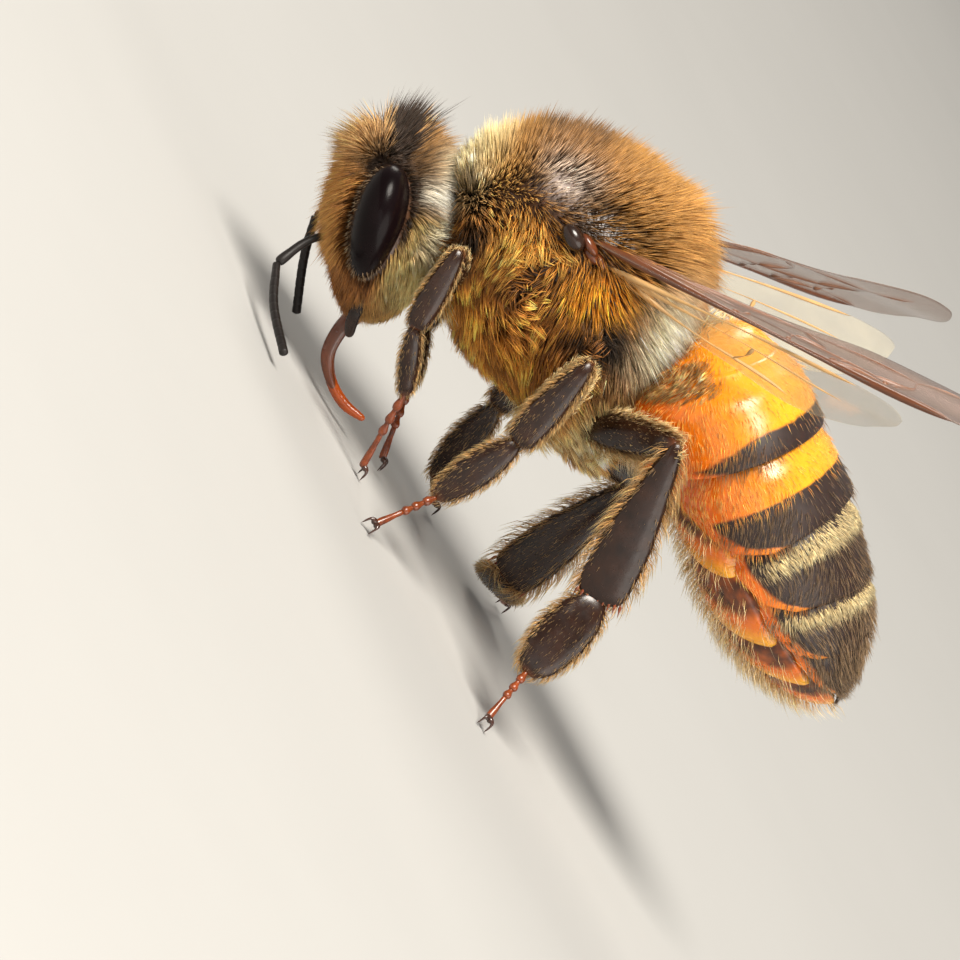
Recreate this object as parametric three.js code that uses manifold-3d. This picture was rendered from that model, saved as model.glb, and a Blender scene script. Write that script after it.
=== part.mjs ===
// A worker honey bee at life size, standing on six feet with its head low and its wings half open.
// Millimetres. The bee faces -X, its left side faces -Y, and the ground is the plane Z = 0.
import * as THREE from "three";
import { mergeVertices } from "three/addons/utils/BufferGeometryUtils.js";
import Module from "manifold-3d";

const wasm = await Module();
wasm.setup();

// Driving dimensions
const jointGap = 0.04; // clear space between touching pieces
const limbThickness = 0.5; // least thickness of a feeler, a foot or a wing, coat included
const forewingLength = 9.2;
const forewingWidth = 3.05;
const hindwingLength = 6.35;
const hindwingWidth = 1.72;
const wingThickness = 0.5;
const headPitch = 47.6; // degrees, the face looks forward and down
const thoraxPitch = -28; // degrees, the thorax rises toward the tail
const eyeLength = 2.4;
const segmentEdges = [-0.75, 0.45, 2.35, 3.65, 4.95, 6.05, 7.0]; // along X, where abdomen plates meet

const shell = (colour, roughness = 0.4) =>
  new THREE.MeshStandardMaterial({ color: colour, roughness, metalness: 0 });
const materials = {
  coat: () => shell(0xb9772c, 0.9),
  face: () => shell(0xb27a3c, 0.9),
  eye: () => shell(0x120c0d, 0.15),
  dark: () => shell(0x1c1412, 0.35),
  tongue: () => shell(0xa8481a, 0.35),
  amber: () => shell(0xd07c1e, 0.3),
  banded: () => shell(0x7a5230, 0.5),
  foot: () => shell(0x8c3d16, 0.4),
  wing: () => shell(0xc9b8a8, 0.25),
};

const bee = new THREE.Group();
const v3 = (x, y, z) => new THREE.Vector3(x, y, z);

// Puts a named mesh into a group.
function add(group, name, geometry, material) {
  const mesh = new THREE.Mesh(geometry, material);
  mesh.name = name;
  group.add(mesh);
  return mesh;
}

// A closed body along X: each station is [x, top, bottom, half width], and its ends are points.
function loft(stations, sides) {
  const geometry = new THREE.SphereGeometry(1, sides, stations.length - 1);
  const position = geometry.getAttribute("position");
  stations.forEach(([x, top, bottom, wide], row) => {
    for (let column = 0; column <= sides; column++) {
      const angle = (2 * Math.PI * (column % sides)) / sides;
      position.setXYZ(
        row * (sides + 1) + column,
        x,
        -Math.cos(angle) * wide,
        (top + bottom) / 2 + (Math.sin(angle) * (top - bottom)) / 2,
      );
    }
  });
  return geometry;
}

// Turns a geometry into a manifold solid, moved by a matrix.
function solidOf(geometry, matrix) {
  const bare = geometry.clone();
  bare.deleteAttribute("normal");
  bare.deleteAttribute("uv");
  const merged = mergeVertices(bare.applyMatrix4(matrix), 1e-4);
  return new wasm.Manifold(
    new wasm.Mesh({
      numProp: 3,
      vertProperties: merged.getAttribute("position").array,
      triVerts: new Uint32Array(merged.index.array),
    }),
  );
}

// Gives a manifold solid back as a geometry.
function geometryOf(solid) {
  const { vertProperties, triVerts } = solid.getMesh();
  const geometry = new THREE.BufferGeometry();
  geometry.setAttribute("position", new THREE.BufferAttribute(vertProperties, 3));
  geometry.setIndex(new THREE.BufferAttribute(triVerts, 1));
  const faceted = geometry.toNonIndexed();
  faceted.computeVertexNormals();
  return faceted;
}

// Cuts each tool out of a mesh, with the tool grown about its own centre to leave a gap.
function carve(mesh, tools) {
  bee.updateMatrixWorld(true);
  const home = mesh.matrixWorld.clone().invert();
  let solid = solidOf(mesh.geometry, new THREE.Matrix4());
  for (const tool of tools) {
    tool.geometry.computeBoundingBox();
    const size = tool.geometry.boundingBox.getSize(v3());
    const centre = tool.geometry.boundingBox.getCenter(v3());
    const grown = new THREE.Matrix4()
      .makeTranslation(centre)
      .scale(v3(1 + (2 * jointGap) / size.x, 1 + (2 * jointGap) / size.y, 1 + (2 * jointGap) / size.z))
      .multiply(new THREE.Matrix4().makeTranslation(centre.negate()));
    const matrix = home.clone().multiply(tool.matrixWorld).multiply(grown);
    solid = solid.subtract(solidOf(tool.geometry, matrix));
  }
  mesh.geometry = geometryOf(largestPiece(solid));
}

function largestPiece(solid) {
  return solid.decompose().sort((a, b) => b.volume() - a.volume())[0];
}

// Keeps the part of a mesh on the side of a plane that its normal points to.
function trim(mesh, point, normal) {
  bee.updateMatrixWorld(true);
  const home = mesh.matrixWorld.clone().invert();
  const facing = normal.clone().transformDirection(home);
  const offset = facing.dot(point.clone().applyMatrix4(home));
  const solid = solidOf(mesh.geometry, new THREE.Matrix4()).trimByPlane(facing.toArray(), offset);
  mesh.geometry = geometryOf(largestPiece(solid));
}

// Head: X runs from the crown to the mouth, Z from the face to the nape
const headGroup = new THREE.Group();
headGroup.position.set(-4.9, 0, 2.75);
headGroup.rotation.y = THREE.MathUtils.degToRad(headPitch);
bee.add(headGroup);
const head = add(
  headGroup,
  "head",
  loft(
    [
      [-2.7, -0.05, -0.05, 0],
      [-2.45, 0.45, -0.62, 0.5],
      [-2.0, 0.82, -1.2, 1.1],
      [-1.3, 1.0, -1.44, 1.6],
      [-0.5, 0.98, -1.46, 1.8],
      [0.3, 1.08, -1.23, 1.74],
      [1.0, 1.14, -0.85, 1.42],
      [1.45, 0.98, -0.58, 1.08],
      [1.7, 0.62, -0.32, 0.7],
      [1.82, 0.12, 0.12, 0],
    ],
    24,
  ),
  materials.face(),
);

const eyes = [-1, 1].map((side) => {
  const eye = add(
    headGroup,
    side < 0 ? "eye_left" : "eye_right",
    new THREE.SphereGeometry(1, 20, 12).scale(eyeLength / 2, 0.78, 0.54),
    materials.eye(),
  );
  eye.position.set(-0.36, side * 1.2, -0.22);
  return eye;
});
carve(head, eyes);

// Keeps each eye's outer shell only, so that the head stays solid between them.
eyes.forEach((eye) => {
  const side = Math.sign(eye.position.y);
  trim(eye, eye.getWorldPosition(v3()).add(v3(0, side * 0.02, 0)), v3(0, side, 0));
});

// Thorax: X runs along its own axis toward the waist, Z toward the back
const thoraxGroup = new THREE.Group();
thoraxGroup.position.set(-2.5, 0, 5.2);
thoraxGroup.rotation.y = THREE.MathUtils.degToRad(thoraxPitch);
bee.add(thoraxGroup);
const thorax = add(
  thoraxGroup,
  "thorax",
  loft(
    [
      [-3.0, 0.95, 0.95, 0],
      [-2.85, 1.4, 0.35, 0.7],
      [-2.4, 1.9, -0.7, 1.4],
      [-1.7, 2.4, -1.72, 1.95],
      [-0.9, 2.62, -2.45, 2.25],
      [0, 2.64, -2.62, 2.38],
      [0.9, 2.44, -2.85, 2.32],
      [1.6, 2.12, -3.12, 2.1],
      [2.1, 1.5, -3.22, 1.8],
      [2.4, 0.6, -3.15, 1.3],
      [2.6, -0.8, -2.85, 0.7],
      [2.65, -1.9, -1.9, 0],
    ],
    28,
  ),
  materials.coat(),
);

// Abdomen: its outline in three curves, read off at any x
const outline = {
  top: [
    [-0.75, 6.6],
    [-0.45, 7.3],
    [-0.1, 7.78],
    [0.6, 8.02],
    [1.4, 8.02],
    [2.4, 7.85],
    [3.6, 7.7],
    [4.9, 7.34],
    [5.6, 7.04],
    [6.25, 6.56],
    [6.75, 5.95],
    [7.0, 5.35],
  ],
  bottom: [
    [-0.75, 5.3],
    [-0.3, 4.75],
    [0.45, 4.42],
    [1.6, 4.46],
    [2.6, 4.38],
    [3.6, 4.14],
    [4.5, 4.07],
    [5.3, 4.12],
    [6.0, 4.34],
    [6.7, 4.78],
    [7.0, 5.15],
  ],
  wide: [
    [-0.75, 0.6],
    [-0.3, 1.4],
    [0.4, 2.0],
    [1.4, 2.22],
    [2.6, 2.25],
    [3.8, 2.15],
    [5.0, 1.84],
    [6.0, 1.34],
    [6.7, 0.72],
    [7.0, 0.15],
  ],
};

function readOutline(points, x) {
  const line = new THREE.SplineCurve(points.map(([a, b]) => new THREE.Vector2(a, b))).getPoints(120);
  const next = Math.max(1, line.findIndex((point) => point.x >= x - 1e-6));
  const [a, b] = [line[next - 1], line[next]];
  return a.y + ((b.y - a.y) * (x - a.x)) / (b.x - a.x);
}

const abdomen = segmentEdges.slice(1).map((rear, index) => {
  const front = segmentEdges[index] + jointGap;
  const rings = [0, 0.25, 0.5, 0.75, 1].map((share) => {
    const x = front + (rear - front) * share;
    const flare = 0.985 + 0.03 * share; // each plate widens a little over the next
    const top = readOutline(outline.top, x);
    const bottom = readOutline(outline.bottom, x);
    const middle = (top + bottom) / 2;
    return [
      x,
      middle + (top - middle) * flare,
      middle + (bottom - middle) * flare,
      readOutline(outline.wide, x) * flare,
    ];
  });
  const cap = ([x, top, bottom]) => [x, (top + bottom) / 2, (top + bottom) / 2, 0];
  return add(
    bee,
    `abdomen_${index + 1}`,
    loft([cap(rings[0]), ...rings, cap(rings[4])], 26),
    index < 3 ? materials.amber() : materials.banded(),
  );
});
carve(abdomen[0], [thorax]);
carve(abdomen[1], [thorax]);
carve(thorax, [head]);

// A limb piece from one joint to the next: half width and half thickness at start, bulge and end.
// Its flat side faces the given way.
function limb(name, from, to, { start, bulge, end, thick }, facing, material) {
  const length = from.distanceTo(to);
  const profile = [
    [-0.5 * start, 0, 0],
    [-0.35 * start, 0.7 * start, 0.7],
    [0.12 * length, start, 1],
    [0.6 * length, bulge, 1],
    [0.95 * length, end, 1],
    [length + 0.3 * end, 0.65 * end, 0.7],
    [length + 0.45 * end, 0, 0],
  ];
  const geometry = loft(
    profile.map(([x, wide, share]) => {
      const half = share * Math.min(thick, Math.max(wide, limbThickness / 2));
      return [x, half, -half, wide];
    }),
    8,
  );
  const mesh = add(bee, name, geometry, material);
  const along = to.clone().sub(from).normalize();
  const up = facing.clone().addScaledVector(along, -facing.dot(along)).normalize();
  const across = up.clone().cross(along);
  mesh.quaternion.setFromRotationMatrix(new THREE.Matrix4().makeBasis(along, across, up));
  mesh.position.copy(from);
  return mesh;
}

// Parts two chained pieces with a thin slit on the plane that halves their joint.
function slit(before, after, joint, from, to) {
  const into = joint.clone().sub(from).normalize();
  const onward = to.clone().sub(joint).normalize();
  const normal = into.add(onward).normalize();
  trim(before, joint.clone().addScaledVector(normal, -jointGap / 2), normal.clone().negate());
  trim(after, joint.clone().addScaledVector(normal, jointGap / 2), normal);
}

// Six legs: hip, knee, ankle, heel and toe of each
const legs = {
  front_left: [
    v3(-3.4, -0.85, 3.05),
    v3(-4.1, -1.85, 3.88),
    v3(-3.3, -1.85, 2.45),
    v3(-2.3, -1.6, 1.62),
    v3(-1.5, -1.25, 0.22),
  ],
  front_right: [
    v3(-2.6, 0.9, 3.4),
    v3(-3.6, 1.9, 3.35),
    v3(-2.8, 1.75, 2.15),
    v3(-1.95, 1.5, 1.3),
    v3(-1.1, 1.3, 0.22),
  ],
  middle_left: [
    v3(-0.5, -0.9, 3.3),
    v3(-1.2, -2.6, 4.95),
    v3(-0.63, -2.7, 3.08),
    v3(-0.52, -2.8, 1.33),
    v3(-0.76, -3.55, 0.22),
  ],
  middle_right: [
    v3(-1.0, 0.95, 3.4),
    v3(-1.1, 2.5, 4.3),
    v3(-0.7, 2.5, 2.4),
    v3(-0.05, 3.0, 0.62),
    v3(0.5, 4.0, 0.22),
  ],
  hind_left: [
    v3(-0.05, -0.85, 4.05),
    v3(0.87, -2.9, 5.58),
    v3(2.58, -2.9, 2.88),
    v3(3.0, -3.4, 1.17),
    v3(3.27, -4.05, 0.22),
  ],
  hind_right: [
    v3(0.2, 0.85, 3.87),
    v3(1.9, 2.7, 3.88),
    v3(2.25, 2.75, 0.85),
    v3(2.5, 4.1, 0.36),
    v3(3.0, 5.15, 0.22),
  ],
};
const slim = { start: 0.25, bulge: 0.25, end: 0.25, thick: 0.25 };
const limbSizes = {
  front: {
    femur: { start: 0.3, bulge: 0.34, end: 0.28, thick: 0.3 },
    tibia: { start: 0.27, bulge: 0.32, end: 0.3, thick: 0.27 },
    basitarsus: { start: 0.25, bulge: 0.27, end: 0.25, thick: 0.25 },
    tarsus: slim,
  },
  middle: {
    femur: { start: 0.32, bulge: 0.36, end: 0.28, thick: 0.32 },
    tibia: { start: 0.26, bulge: 0.37, end: 0.38, thick: 0.28 },
    basitarsus: { start: 0.3, bulge: 0.38, end: 0.3, thick: 0.27 },
    tarsus: slim,
  },
  hind: {
    femur: { start: 0.34, bulge: 0.38, end: 0.3, thick: 0.34 },
    tibia: { start: 0.3, bulge: 0.58, end: 0.62, thick: 0.3 },
    basitarsus: { start: 0.5, bulge: 0.55, end: 0.42, thick: 0.28 },
    tarsus: slim,
  },
};
const pieceNames = ["femur", "tibia", "basitarsus", "tarsus"];
const ground = v3(0, 0, 0);

const legMeshes = Object.entries(legs).flatMap(([leg, joints]) => {
  const [pair, sideName] = leg.split("_");
  const outward = v3(0, sideName === "left" ? -1 : 1, 0.25);
  const pieces = pieceNames.map((piece, index) =>
    limb(
      `leg_${leg}_${piece}`,
      joints[index],
      joints[index + 1],
      limbSizes[pair][piece],
      outward,
      piece === "tarsus" ? materials.foot() : materials.dark(),
    ),
  );
  for (let index = 1; index < 4; index++) {
    slit(pieces[index - 1], pieces[index], joints[index], joints[index - 1], joints[index + 1]);
  }
  carve(pieces[0], [thorax, abdomen[0], abdomen[1]]);
  trim(pieces[2], ground, v3(0, 0, 1));
  trim(pieces[3], ground, v3(0, 0, 1));
  return pieces;
});

// A round piece along a smooth path, for a feeler or the tongue.
const stalkRadius = limbThickness / 2;
function stalk(name, points, radius, material) {
  const path = new THREE.CatmullRomCurve3(points);
  const section = new THREE.Shape().absarc(0, 0, radius, 0, 2 * Math.PI);
  const geometry = new THREE.ExtrudeGeometry(section, {
    steps: 4 * (points.length - 1),
    curveSegments: 4,
    bevelEnabled: false,
    extrudePath: path,
  });
  return add(bee, name, geometry, material);
}

// Feelers: a stiff first length from the face and a long bent one
const antennae = {
  left: [
    v3(-5.0, -0.3, 2.5),
    v3(-5.53, -0.7, 1.45),
    v3(-5.5, -1.0, 0.76),
    v3(-5.03, -1.8, 0.48),
    v3(-4.2, -2.95, 0.3),
  ],
  right: [
    v3(-5.0, 0.3, 2.5),
    v3(-5.5, 0.62, 2.05),
    v3(-5.69, 0.95, 1.55),
    v3(-5.2, 1.0, 1.03),
    v3(-4.3, 0.85, 0.3),
  ],
};
Object.entries(antennae).forEach(([side, points]) => {
  const scape = stalk(`antenna_${side}_scape`, points.slice(0, 3), stalkRadius, materials.dark());
  const flagellum = stalk(`antenna_${side}_flagellum`, points.slice(2), stalkRadius, materials.dark());
  slit(scape, flagellum, points[2], points[1], points[3]);
  carve(scape, [head]);
  trim(flagellum, ground, v3(0, 0, 1));
});

// Mouth: the tongue in two lengths and a jaw on each side of it
const tonguePoints = [
  v3(-3.87, 0, 1.6),
  v3(-3.72, 0, 0.95),
  v3(-3.45, 0, 0.55),
  v3(-3.05, 0, 0.36),
  v3(-2.5, 0, 0.33),
  v3(-2.05, 0, 0.5),
];
const tongueBase = stalk("tongue_base", tonguePoints.slice(0, 4), stalkRadius, materials.tongue());
const tongueTip = stalk("tongue_tip", tonguePoints.slice(3), stalkRadius, materials.tongue());
slit(tongueBase, tongueTip, tonguePoints[3], tonguePoints[2], tonguePoints[4]);
carve(tongueBase, [head]);
trim(tongueTip, v3(0, 0, 0.06), v3(0, 0, 1));

[-1, 1].forEach((side) => {
  const jaw = limb(
    side < 0 ? "mandible_left" : "mandible_right",
    v3(-4.08, side * 0.66, 1.75),
    v3(-3.58, side * 0.42, 1.12),
    { start: 0.32, bulge: 0.3, end: 0.25, thick: 0.26 },
    v3(0, side, 0),
    materials.dark(),
  );
  carve(jaw, [head, tongueBase]);
});

// Wings: flat plates, each placed by its root, its tip's direction and the way its hind edge points
function wing(name, root, toTip, toHindEdge, points) {
  const edge = new THREE.SplineCurve([...points, points[0]].map(([u, v]) => new THREE.Vector2(u, v)));
  const shape = new THREE.Shape(edge.getPoints(34).slice(0, -1));
  const geometry = new THREE.ExtrudeGeometry(shape, { depth: wingThickness, bevelEnabled: false });
  geometry.translate(0, 0, -wingThickness / 2);
  const mesh = add(bee, name, geometry, materials.wing());
  const along = toTip.clone().normalize();
  const chord = toHindEdge.clone().addScaledVector(along, -toHindEdge.dot(along)).normalize();
  const across = along.clone().cross(chord);
  mesh.quaternion.setFromRotationMatrix(new THREE.Matrix4().makeBasis(along, chord, across));
  mesh.position.copy(root);
  return mesh;
}

const scaled = (points, length, width) => points.map(([u, v]) => [u * length, v * width]);
const forewingShape = scaled(
  [
    [0, -0.05],
    [0.33, -0.04],
    [0.65, -0.02],
    [0.88, 0.05],
    [0.975, 0.2],
    [1, 0.4],
    [0.965, 0.64],
    [0.87, 0.9],
    [0.73, 1],
    [0.58, 0.9],
    [0.45, 0.66],
    [0.34, 0.52],
    [0.16, 0.3],
    [0, 0.12],
  ],
  forewingLength,
  forewingWidth,
);
const hindwingShape = scaled(
  [
    [0, -0.06],
    [0.3, -0.05],
    [0.65, -0.02],
    [0.93, 0.06],
    [1, 0.26],
    [0.95, 0.52],
    [0.82, 0.85],
    [0.62, 1],
    [0.4, 0.84],
    [0.18, 0.45],
    [0, 0.16],
  ],
  hindwingLength,
  hindwingWidth,
);
const wingPoses = {
  left: {
    fore: { toTip: v3(0.655, -0.55, 0.518), toHindEdge: v3(0.396, 0.861, 0.315) },
    hind: { toTip: v3(0.715, -0.41, 0.566), toHindEdge: v3(0.53, 0.74, -0.39) },
  },
  right: {
    fore: { toTip: v3(0.577, 0.761, 0.297), toHindEdge: v3(0.386, -0.574, 0.722) },
    hind: { toTip: v3(0.715, 0.45, 0.53), toHindEdge: v3(0.53, -0.74, -0.39) },
  },
};
// Places on the right side; the left ones are their mirror images.
const forewingRoot = [-3.05, 1.75, 6.03];
const hindwingRoot = [-2.5, 1.72, 6.02];
const hingeCentre = [-3.3, 2.08, 5.8];
const hingeHalfSizes = [0.38, 0.34, 0.31];
const bodyMeshes = [thorax, ...abdomen];

Object.entries(wingPoses).forEach(([name, { fore, hind }]) => {
  const onSide = ([x, y, z]) => v3(x, name === "left" ? -y : y, z);
  const forewing = wing(
    `forewing_${name}`,
    onSide(forewingRoot),
    fore.toTip,
    fore.toHindEdge,
    forewingShape,
  );
  const hindwing = wing(
    `hindwing_${name}`,
    onSide(hindwingRoot),
    hind.toTip,
    hind.toHindEdge,
    hindwingShape,
  );
  const hinge = add(
    bee,
    `tegula_${name}`,
    new THREE.SphereGeometry(1, 12, 8).scale(...hingeHalfSizes),
    materials.dark(),
  );
  hinge.position.copy(onSide(hingeCentre));
  carve(forewing, bodyMeshes);
  carve(hinge, [thorax, forewing]);
  carve(hindwing, [...bodyMeshes, forewing, hinge]);
});

// The finished bee stands with the middle of its bounding box over the origin.
bee.updateMatrixWorld(true);
const box = new THREE.Box3().setFromObject(bee, true);
const middle = box.getCenter(v3());
bee.position.set(-middle.x, -middle.y, -box.min.z);
const model = new THREE.Group();
model.add(bee);

export default model;
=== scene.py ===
import bpy
import numpy as np
from mathutils import Matrix, Vector


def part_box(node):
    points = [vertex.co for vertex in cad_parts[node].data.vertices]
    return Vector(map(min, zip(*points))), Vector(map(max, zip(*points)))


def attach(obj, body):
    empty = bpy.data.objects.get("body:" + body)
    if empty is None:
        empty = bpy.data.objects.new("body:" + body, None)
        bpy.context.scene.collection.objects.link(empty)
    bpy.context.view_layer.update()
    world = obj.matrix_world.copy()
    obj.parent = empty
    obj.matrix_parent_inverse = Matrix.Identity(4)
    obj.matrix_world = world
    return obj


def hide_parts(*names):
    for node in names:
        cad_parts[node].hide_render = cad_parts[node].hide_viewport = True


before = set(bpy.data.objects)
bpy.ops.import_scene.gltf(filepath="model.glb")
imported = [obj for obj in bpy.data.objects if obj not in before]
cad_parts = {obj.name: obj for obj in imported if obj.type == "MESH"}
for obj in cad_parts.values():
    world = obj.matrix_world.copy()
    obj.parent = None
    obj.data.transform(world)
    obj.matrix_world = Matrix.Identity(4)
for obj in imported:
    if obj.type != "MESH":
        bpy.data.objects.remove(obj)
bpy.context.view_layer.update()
print("frame loaded,", len(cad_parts), "solids")

# Shapes are worked out in millimetres in the bee's own frame: it faces -X and its left side faces -Y.
# The tail's tip lies at tailEnd there, and the body is even about y = 0, so the tail's box gives the shift.
tailEnd = 7.0
tailLow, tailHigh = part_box("abdomen_6")
beeShift = np.array([tailHigh.x * 1000 - tailEnd, (tailLow.y + tailHigh.y) * 500, 0.0])
chance = np.random.default_rng(7)
bothSides = ((-1, "Left"), (1, "Right"))


# (point + shift) / 1000
def toFrame(points):
    return (points + beeShift) / 1000


# vector / |vector|
def unit(vectors):
    return vectors / np.maximum(np.linalg.norm(vectors, axis=-1, keepdims=True), 1e-9)


# 3t² - 2t³, where t goes from 0 at low to 1 at high
def ramp(low, high, value):
    t = np.clip((value - low) / (high - low), 0, 1)
    return t * t * (3 - 2 * t)


# a + (b - a) · share
def mix(a, b, share):
    return a + (b - a) * share


# e^(-d²), where d is the distance to the centre on either side of the body, in radii
def spot(points, centre, radii):
    outward = np.array([0, 1, 0])
    away = (1 - outward) * (points - centre) + outward * (np.abs(points) - np.abs(centre))
    return np.exp(-np.sum((away / radii) ** 2, axis=-1))


# The way gone along a line of points at each of them
def lengthsAlong(points):
    return np.concatenate([[0], np.cumsum(np.linalg.norm(np.diff(points, axis=0), axis=1))])


# Cubic through the knots, with each knot's slope from its neighbours, read at even steps of its length
def splineThrough(knots, count):
    knots = np.asarray(knots, float)
    place = lengthsAlong(knots)
    slope = np.gradient(knots, place, axis=0)
    at = np.linspace(0, place[-1], count)
    span = np.clip(np.searchsorted(place, at, side="right") - 1, 0, len(place) - 2)
    length = (place[span + 1] - place[span])[:, None]
    t = (at - place[span])[:, None] / length
    return (
        (2 * t**3 - 3 * t**2 + 1) * knots[span]
        + (t**3 - 2 * t**2 + t) * length * slope[span]
        + (3 * t**2 - 2 * t**3) * knots[span + 1]
        + (t**3 - t**2) * length * slope[span + 1]
    )


# Turned about Y by the pitch, then moved to the centre
def placed(points, place):
    pitch = np.radians(place["pitch"])
    x, y, z = np.moveaxis(points, -1, 0)
    turned = [x * np.cos(pitch) + z * np.sin(pitch), y, z * np.cos(pitch) - x * np.sin(pitch)]
    return np.stack(turned, axis=-1) + np.array(place["centre"])


beePlace = {"centre": (0.0, 0.0, 0.0), "pitch": 0.0}  # for points that are in the bee's frame already


# cos a and sin a with their sizes raised to 2/p: a circle at p = 2, and squarer above
def squaredCircle(count, power):
    angle = np.linspace(0, 2 * np.pi, count + 1)
    across = np.sign(np.cos(angle)) * np.abs(np.cos(angle)) ** (2 / power)
    upward = np.sign(np.sin(angle)) * np.abs(np.sin(angle)) ** (2 / power)
    return across, upward


# Rings at each station's x: y = wide · cos a, z = middle + half · sin a
def bodyGrid(stations, rows, columns, square=2.0):
    x, top, bottom, wide = splineThrough(stations, rows).T[:, :, None]
    across, upward = squaredCircle(columns, square)
    y = np.maximum(wide, 0) * across
    z = (top + bottom) / 2 + (top - bottom) / 2 * upward
    return np.stack([x + 0 * y, y, z], axis=-1)


# A section carried along a path: p + wide · cos a · side + thick · sin a · up, where up is the facing
# direction squared to the path. Each row of the table is [share of the length, wide, thick].
def carriedGrid(path, table, facing, sides, square=2.0):
    share, wide, thick = np.asarray(table, float).T
    if len(path) > 2:
        fine = splineThrough(path, 80)
    else:
        fine = mix(*np.array(path), np.linspace(0, 1, 80)[:, None])
    place = lengthsAlong(fine)
    at = share * place[-1]
    inside = np.clip(at, 0, place[-1])
    course = unit(np.gradient(fine, axis=0))
    middle = np.stack([np.interp(inside, place, fine[:, k]) for k in range(3)], axis=-1)
    along = unit(np.stack([np.interp(inside, place, course[:, k]) for k in range(3)], axis=-1))
    middle = middle + along * (at - inside)[:, None]
    up = unit(facing - along * np.sum(along * facing, axis=-1, keepdims=True))
    side = np.cross(up, along)
    across, upward = squaredCircle(sides, square)
    sideways = (np.maximum(wide, 0)[:, None] * across)[..., None] * side[:, None]
    upwards = (np.maximum(thick, 0)[:, None] * upward)[..., None] * up[:, None]
    return middle[:, None] + sideways + upwards


# Normal = column tangent × row tangent, turned outwards; along = row tangent. u, v run over the grid.
def surfaceOf(grid):
    down = np.gradient(grid, axis=0)
    across = np.gradient(grid, axis=1)
    if np.allclose(grid[:, 0], grid[:, -1]):
        across[:, 0] = across[:, -1] = (grid[:, 1] - grid[:, -2]) / 2
    normal = unit(np.cross(across, down))
    for end, near in ((0, 1), (-1, -2)):
        if np.ptp(grid[end], axis=0).max() < 1e-6:
            normal[end] = unit(normal[near].mean(axis=0))
    if np.sum(normal * (grid - grid.mean(axis=1, keepdims=True))) < 0:
        normal = -normal
    u, v = np.meshgrid(np.linspace(0, 1, len(grid)), np.linspace(0, 1, grid.shape[1]), indexing="ij")
    return {"points": grid, "normals": normal, "along": unit(down), "u": u, "v": v}


# A closed skin: the end rings shrink to a point each, and the last column is the first one
def closedSkin(values):
    inner = values[1:-1, :-1].reshape(-1, *values.shape[2:])
    return np.concatenate([values[0, :1], inner, values[-1, :1]])


def closedFaces(rows, columns):
    index = 1 + np.arange((rows - 2) * columns).reshape(rows - 2, columns)
    ahead = np.roll(index, -1, axis=1)
    quads = np.stack([index[:-1], index[1:], ahead[1:], ahead[:-1]], axis=-1).reshape(-1, 4)
    last = np.full(columns, (rows - 2) * columns + 1)
    caps = np.concatenate(
        [
            np.stack([0 * last, index[0], ahead[0]], axis=-1),
            np.stack([last, ahead[-1], index[-1]], axis=-1),
        ]
    )
    return [quads, caps]


# A closed plate: the outer grid, the inner grid turned round, and a rim between their edges
def plateFaces(rows, columns):
    index = np.arange(rows * columns).reshape(rows, columns)
    corners = [index[:-1, :-1], index[1:, :-1], index[1:, 1:], index[:-1, 1:]]
    quads = np.stack(corners, axis=-1).reshape(-1, 4)
    edge = np.concatenate([index[0, :-1], index[:-1, -1], index[-1, :0:-1], index[:0:-1, 0]])
    onward = np.roll(edge, -1)
    size = rows * columns
    rim = np.stack([edge, onward, onward + size, edge + size], axis=-1)
    return [quads, quads[:, ::-1] + size, rim]


# Six times the volume that triangles fanned from each face's first corner enclose
def signedVolume(points, faceSets):
    total = 0.0
    for faces in faceSets:
        for k in range(1, faces.shape[1] - 1):
            a, b, c = points[faces[:, 0]], points[faces[:, k]], points[faces[:, k + 1]]
            total += np.sum(a * np.cross(b, c))
    return total


# Puts points, faces, attributes and the bake map into a mesh that rides on the bee's one body
def makePiece(name, points, faceSets, material, replaced=(), values=None, bakeMap=None):
    if signedVolume(points - points.mean(axis=0), faceSets) < 0:
        faceSets = [faces[:, ::-1] for faces in faceSets]
    corners = np.concatenate([faces.ravel() for faces in faceSets]).astype(np.int32)
    sizes = np.concatenate([np.full(len(faces), faces.shape[1]) for faces in faceSets])
    starts = np.concatenate([[0], np.cumsum(sizes)[:-1]]).astype(np.int32)
    mesh = bpy.data.meshes.new(name)
    mesh.vertices.add(len(points))
    mesh.vertices.foreach_set("co", toFrame(points).astype(np.float32).ravel())
    mesh.loops.add(len(corners))
    mesh.loops.foreach_set("vertex_index", corners)
    mesh.polygons.add(len(starts))
    mesh.polygons.foreach_set("loop_start", starts)
    mesh.polygons.foreach_set("use_smooth", np.ones(len(starts), bool))
    mesh.update(calc_edges=True)
    for label, data in (values or {}).items():
        if data.ndim == 1:
            attribute = mesh.attributes.new(label, "FLOAT", "POINT")
            attribute.data.foreach_set("value", data.astype(np.float32))
        else:
            full = np.concatenate([data, np.ones((len(data), 1))], axis=1).astype(np.float32)
            attribute = mesh.attributes.new(label, "FLOAT_COLOR", "POINT")
            attribute.data.foreach_set("color", full.ravel())
    if bakeMap is not None:
        layer = mesh.uv_layers.new(name="OFBake")
        layer.data.foreach_set("uv", bakeMap[corners].astype(np.float32).ravel())
    piece = bpy.data.objects.new(name, mesh)
    bpy.context.scene.collection.objects.link(piece)
    mesh.materials.append(material)
    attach(piece, "root")
    if replaced:
        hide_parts(*replaced)
    return piece


# A closed grid as one piece; values are grids of the same size
def makeSkin(name, grid, material, replaced=(), values=None):
    values = {label: closedSkin(data) for label, data in (values or {}).items()}
    faces = closedFaces(grid.shape[0], grid.shape[1] - 1)
    return makePiece(name, closedSkin(grid), faces, material, replaced, values)


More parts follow.
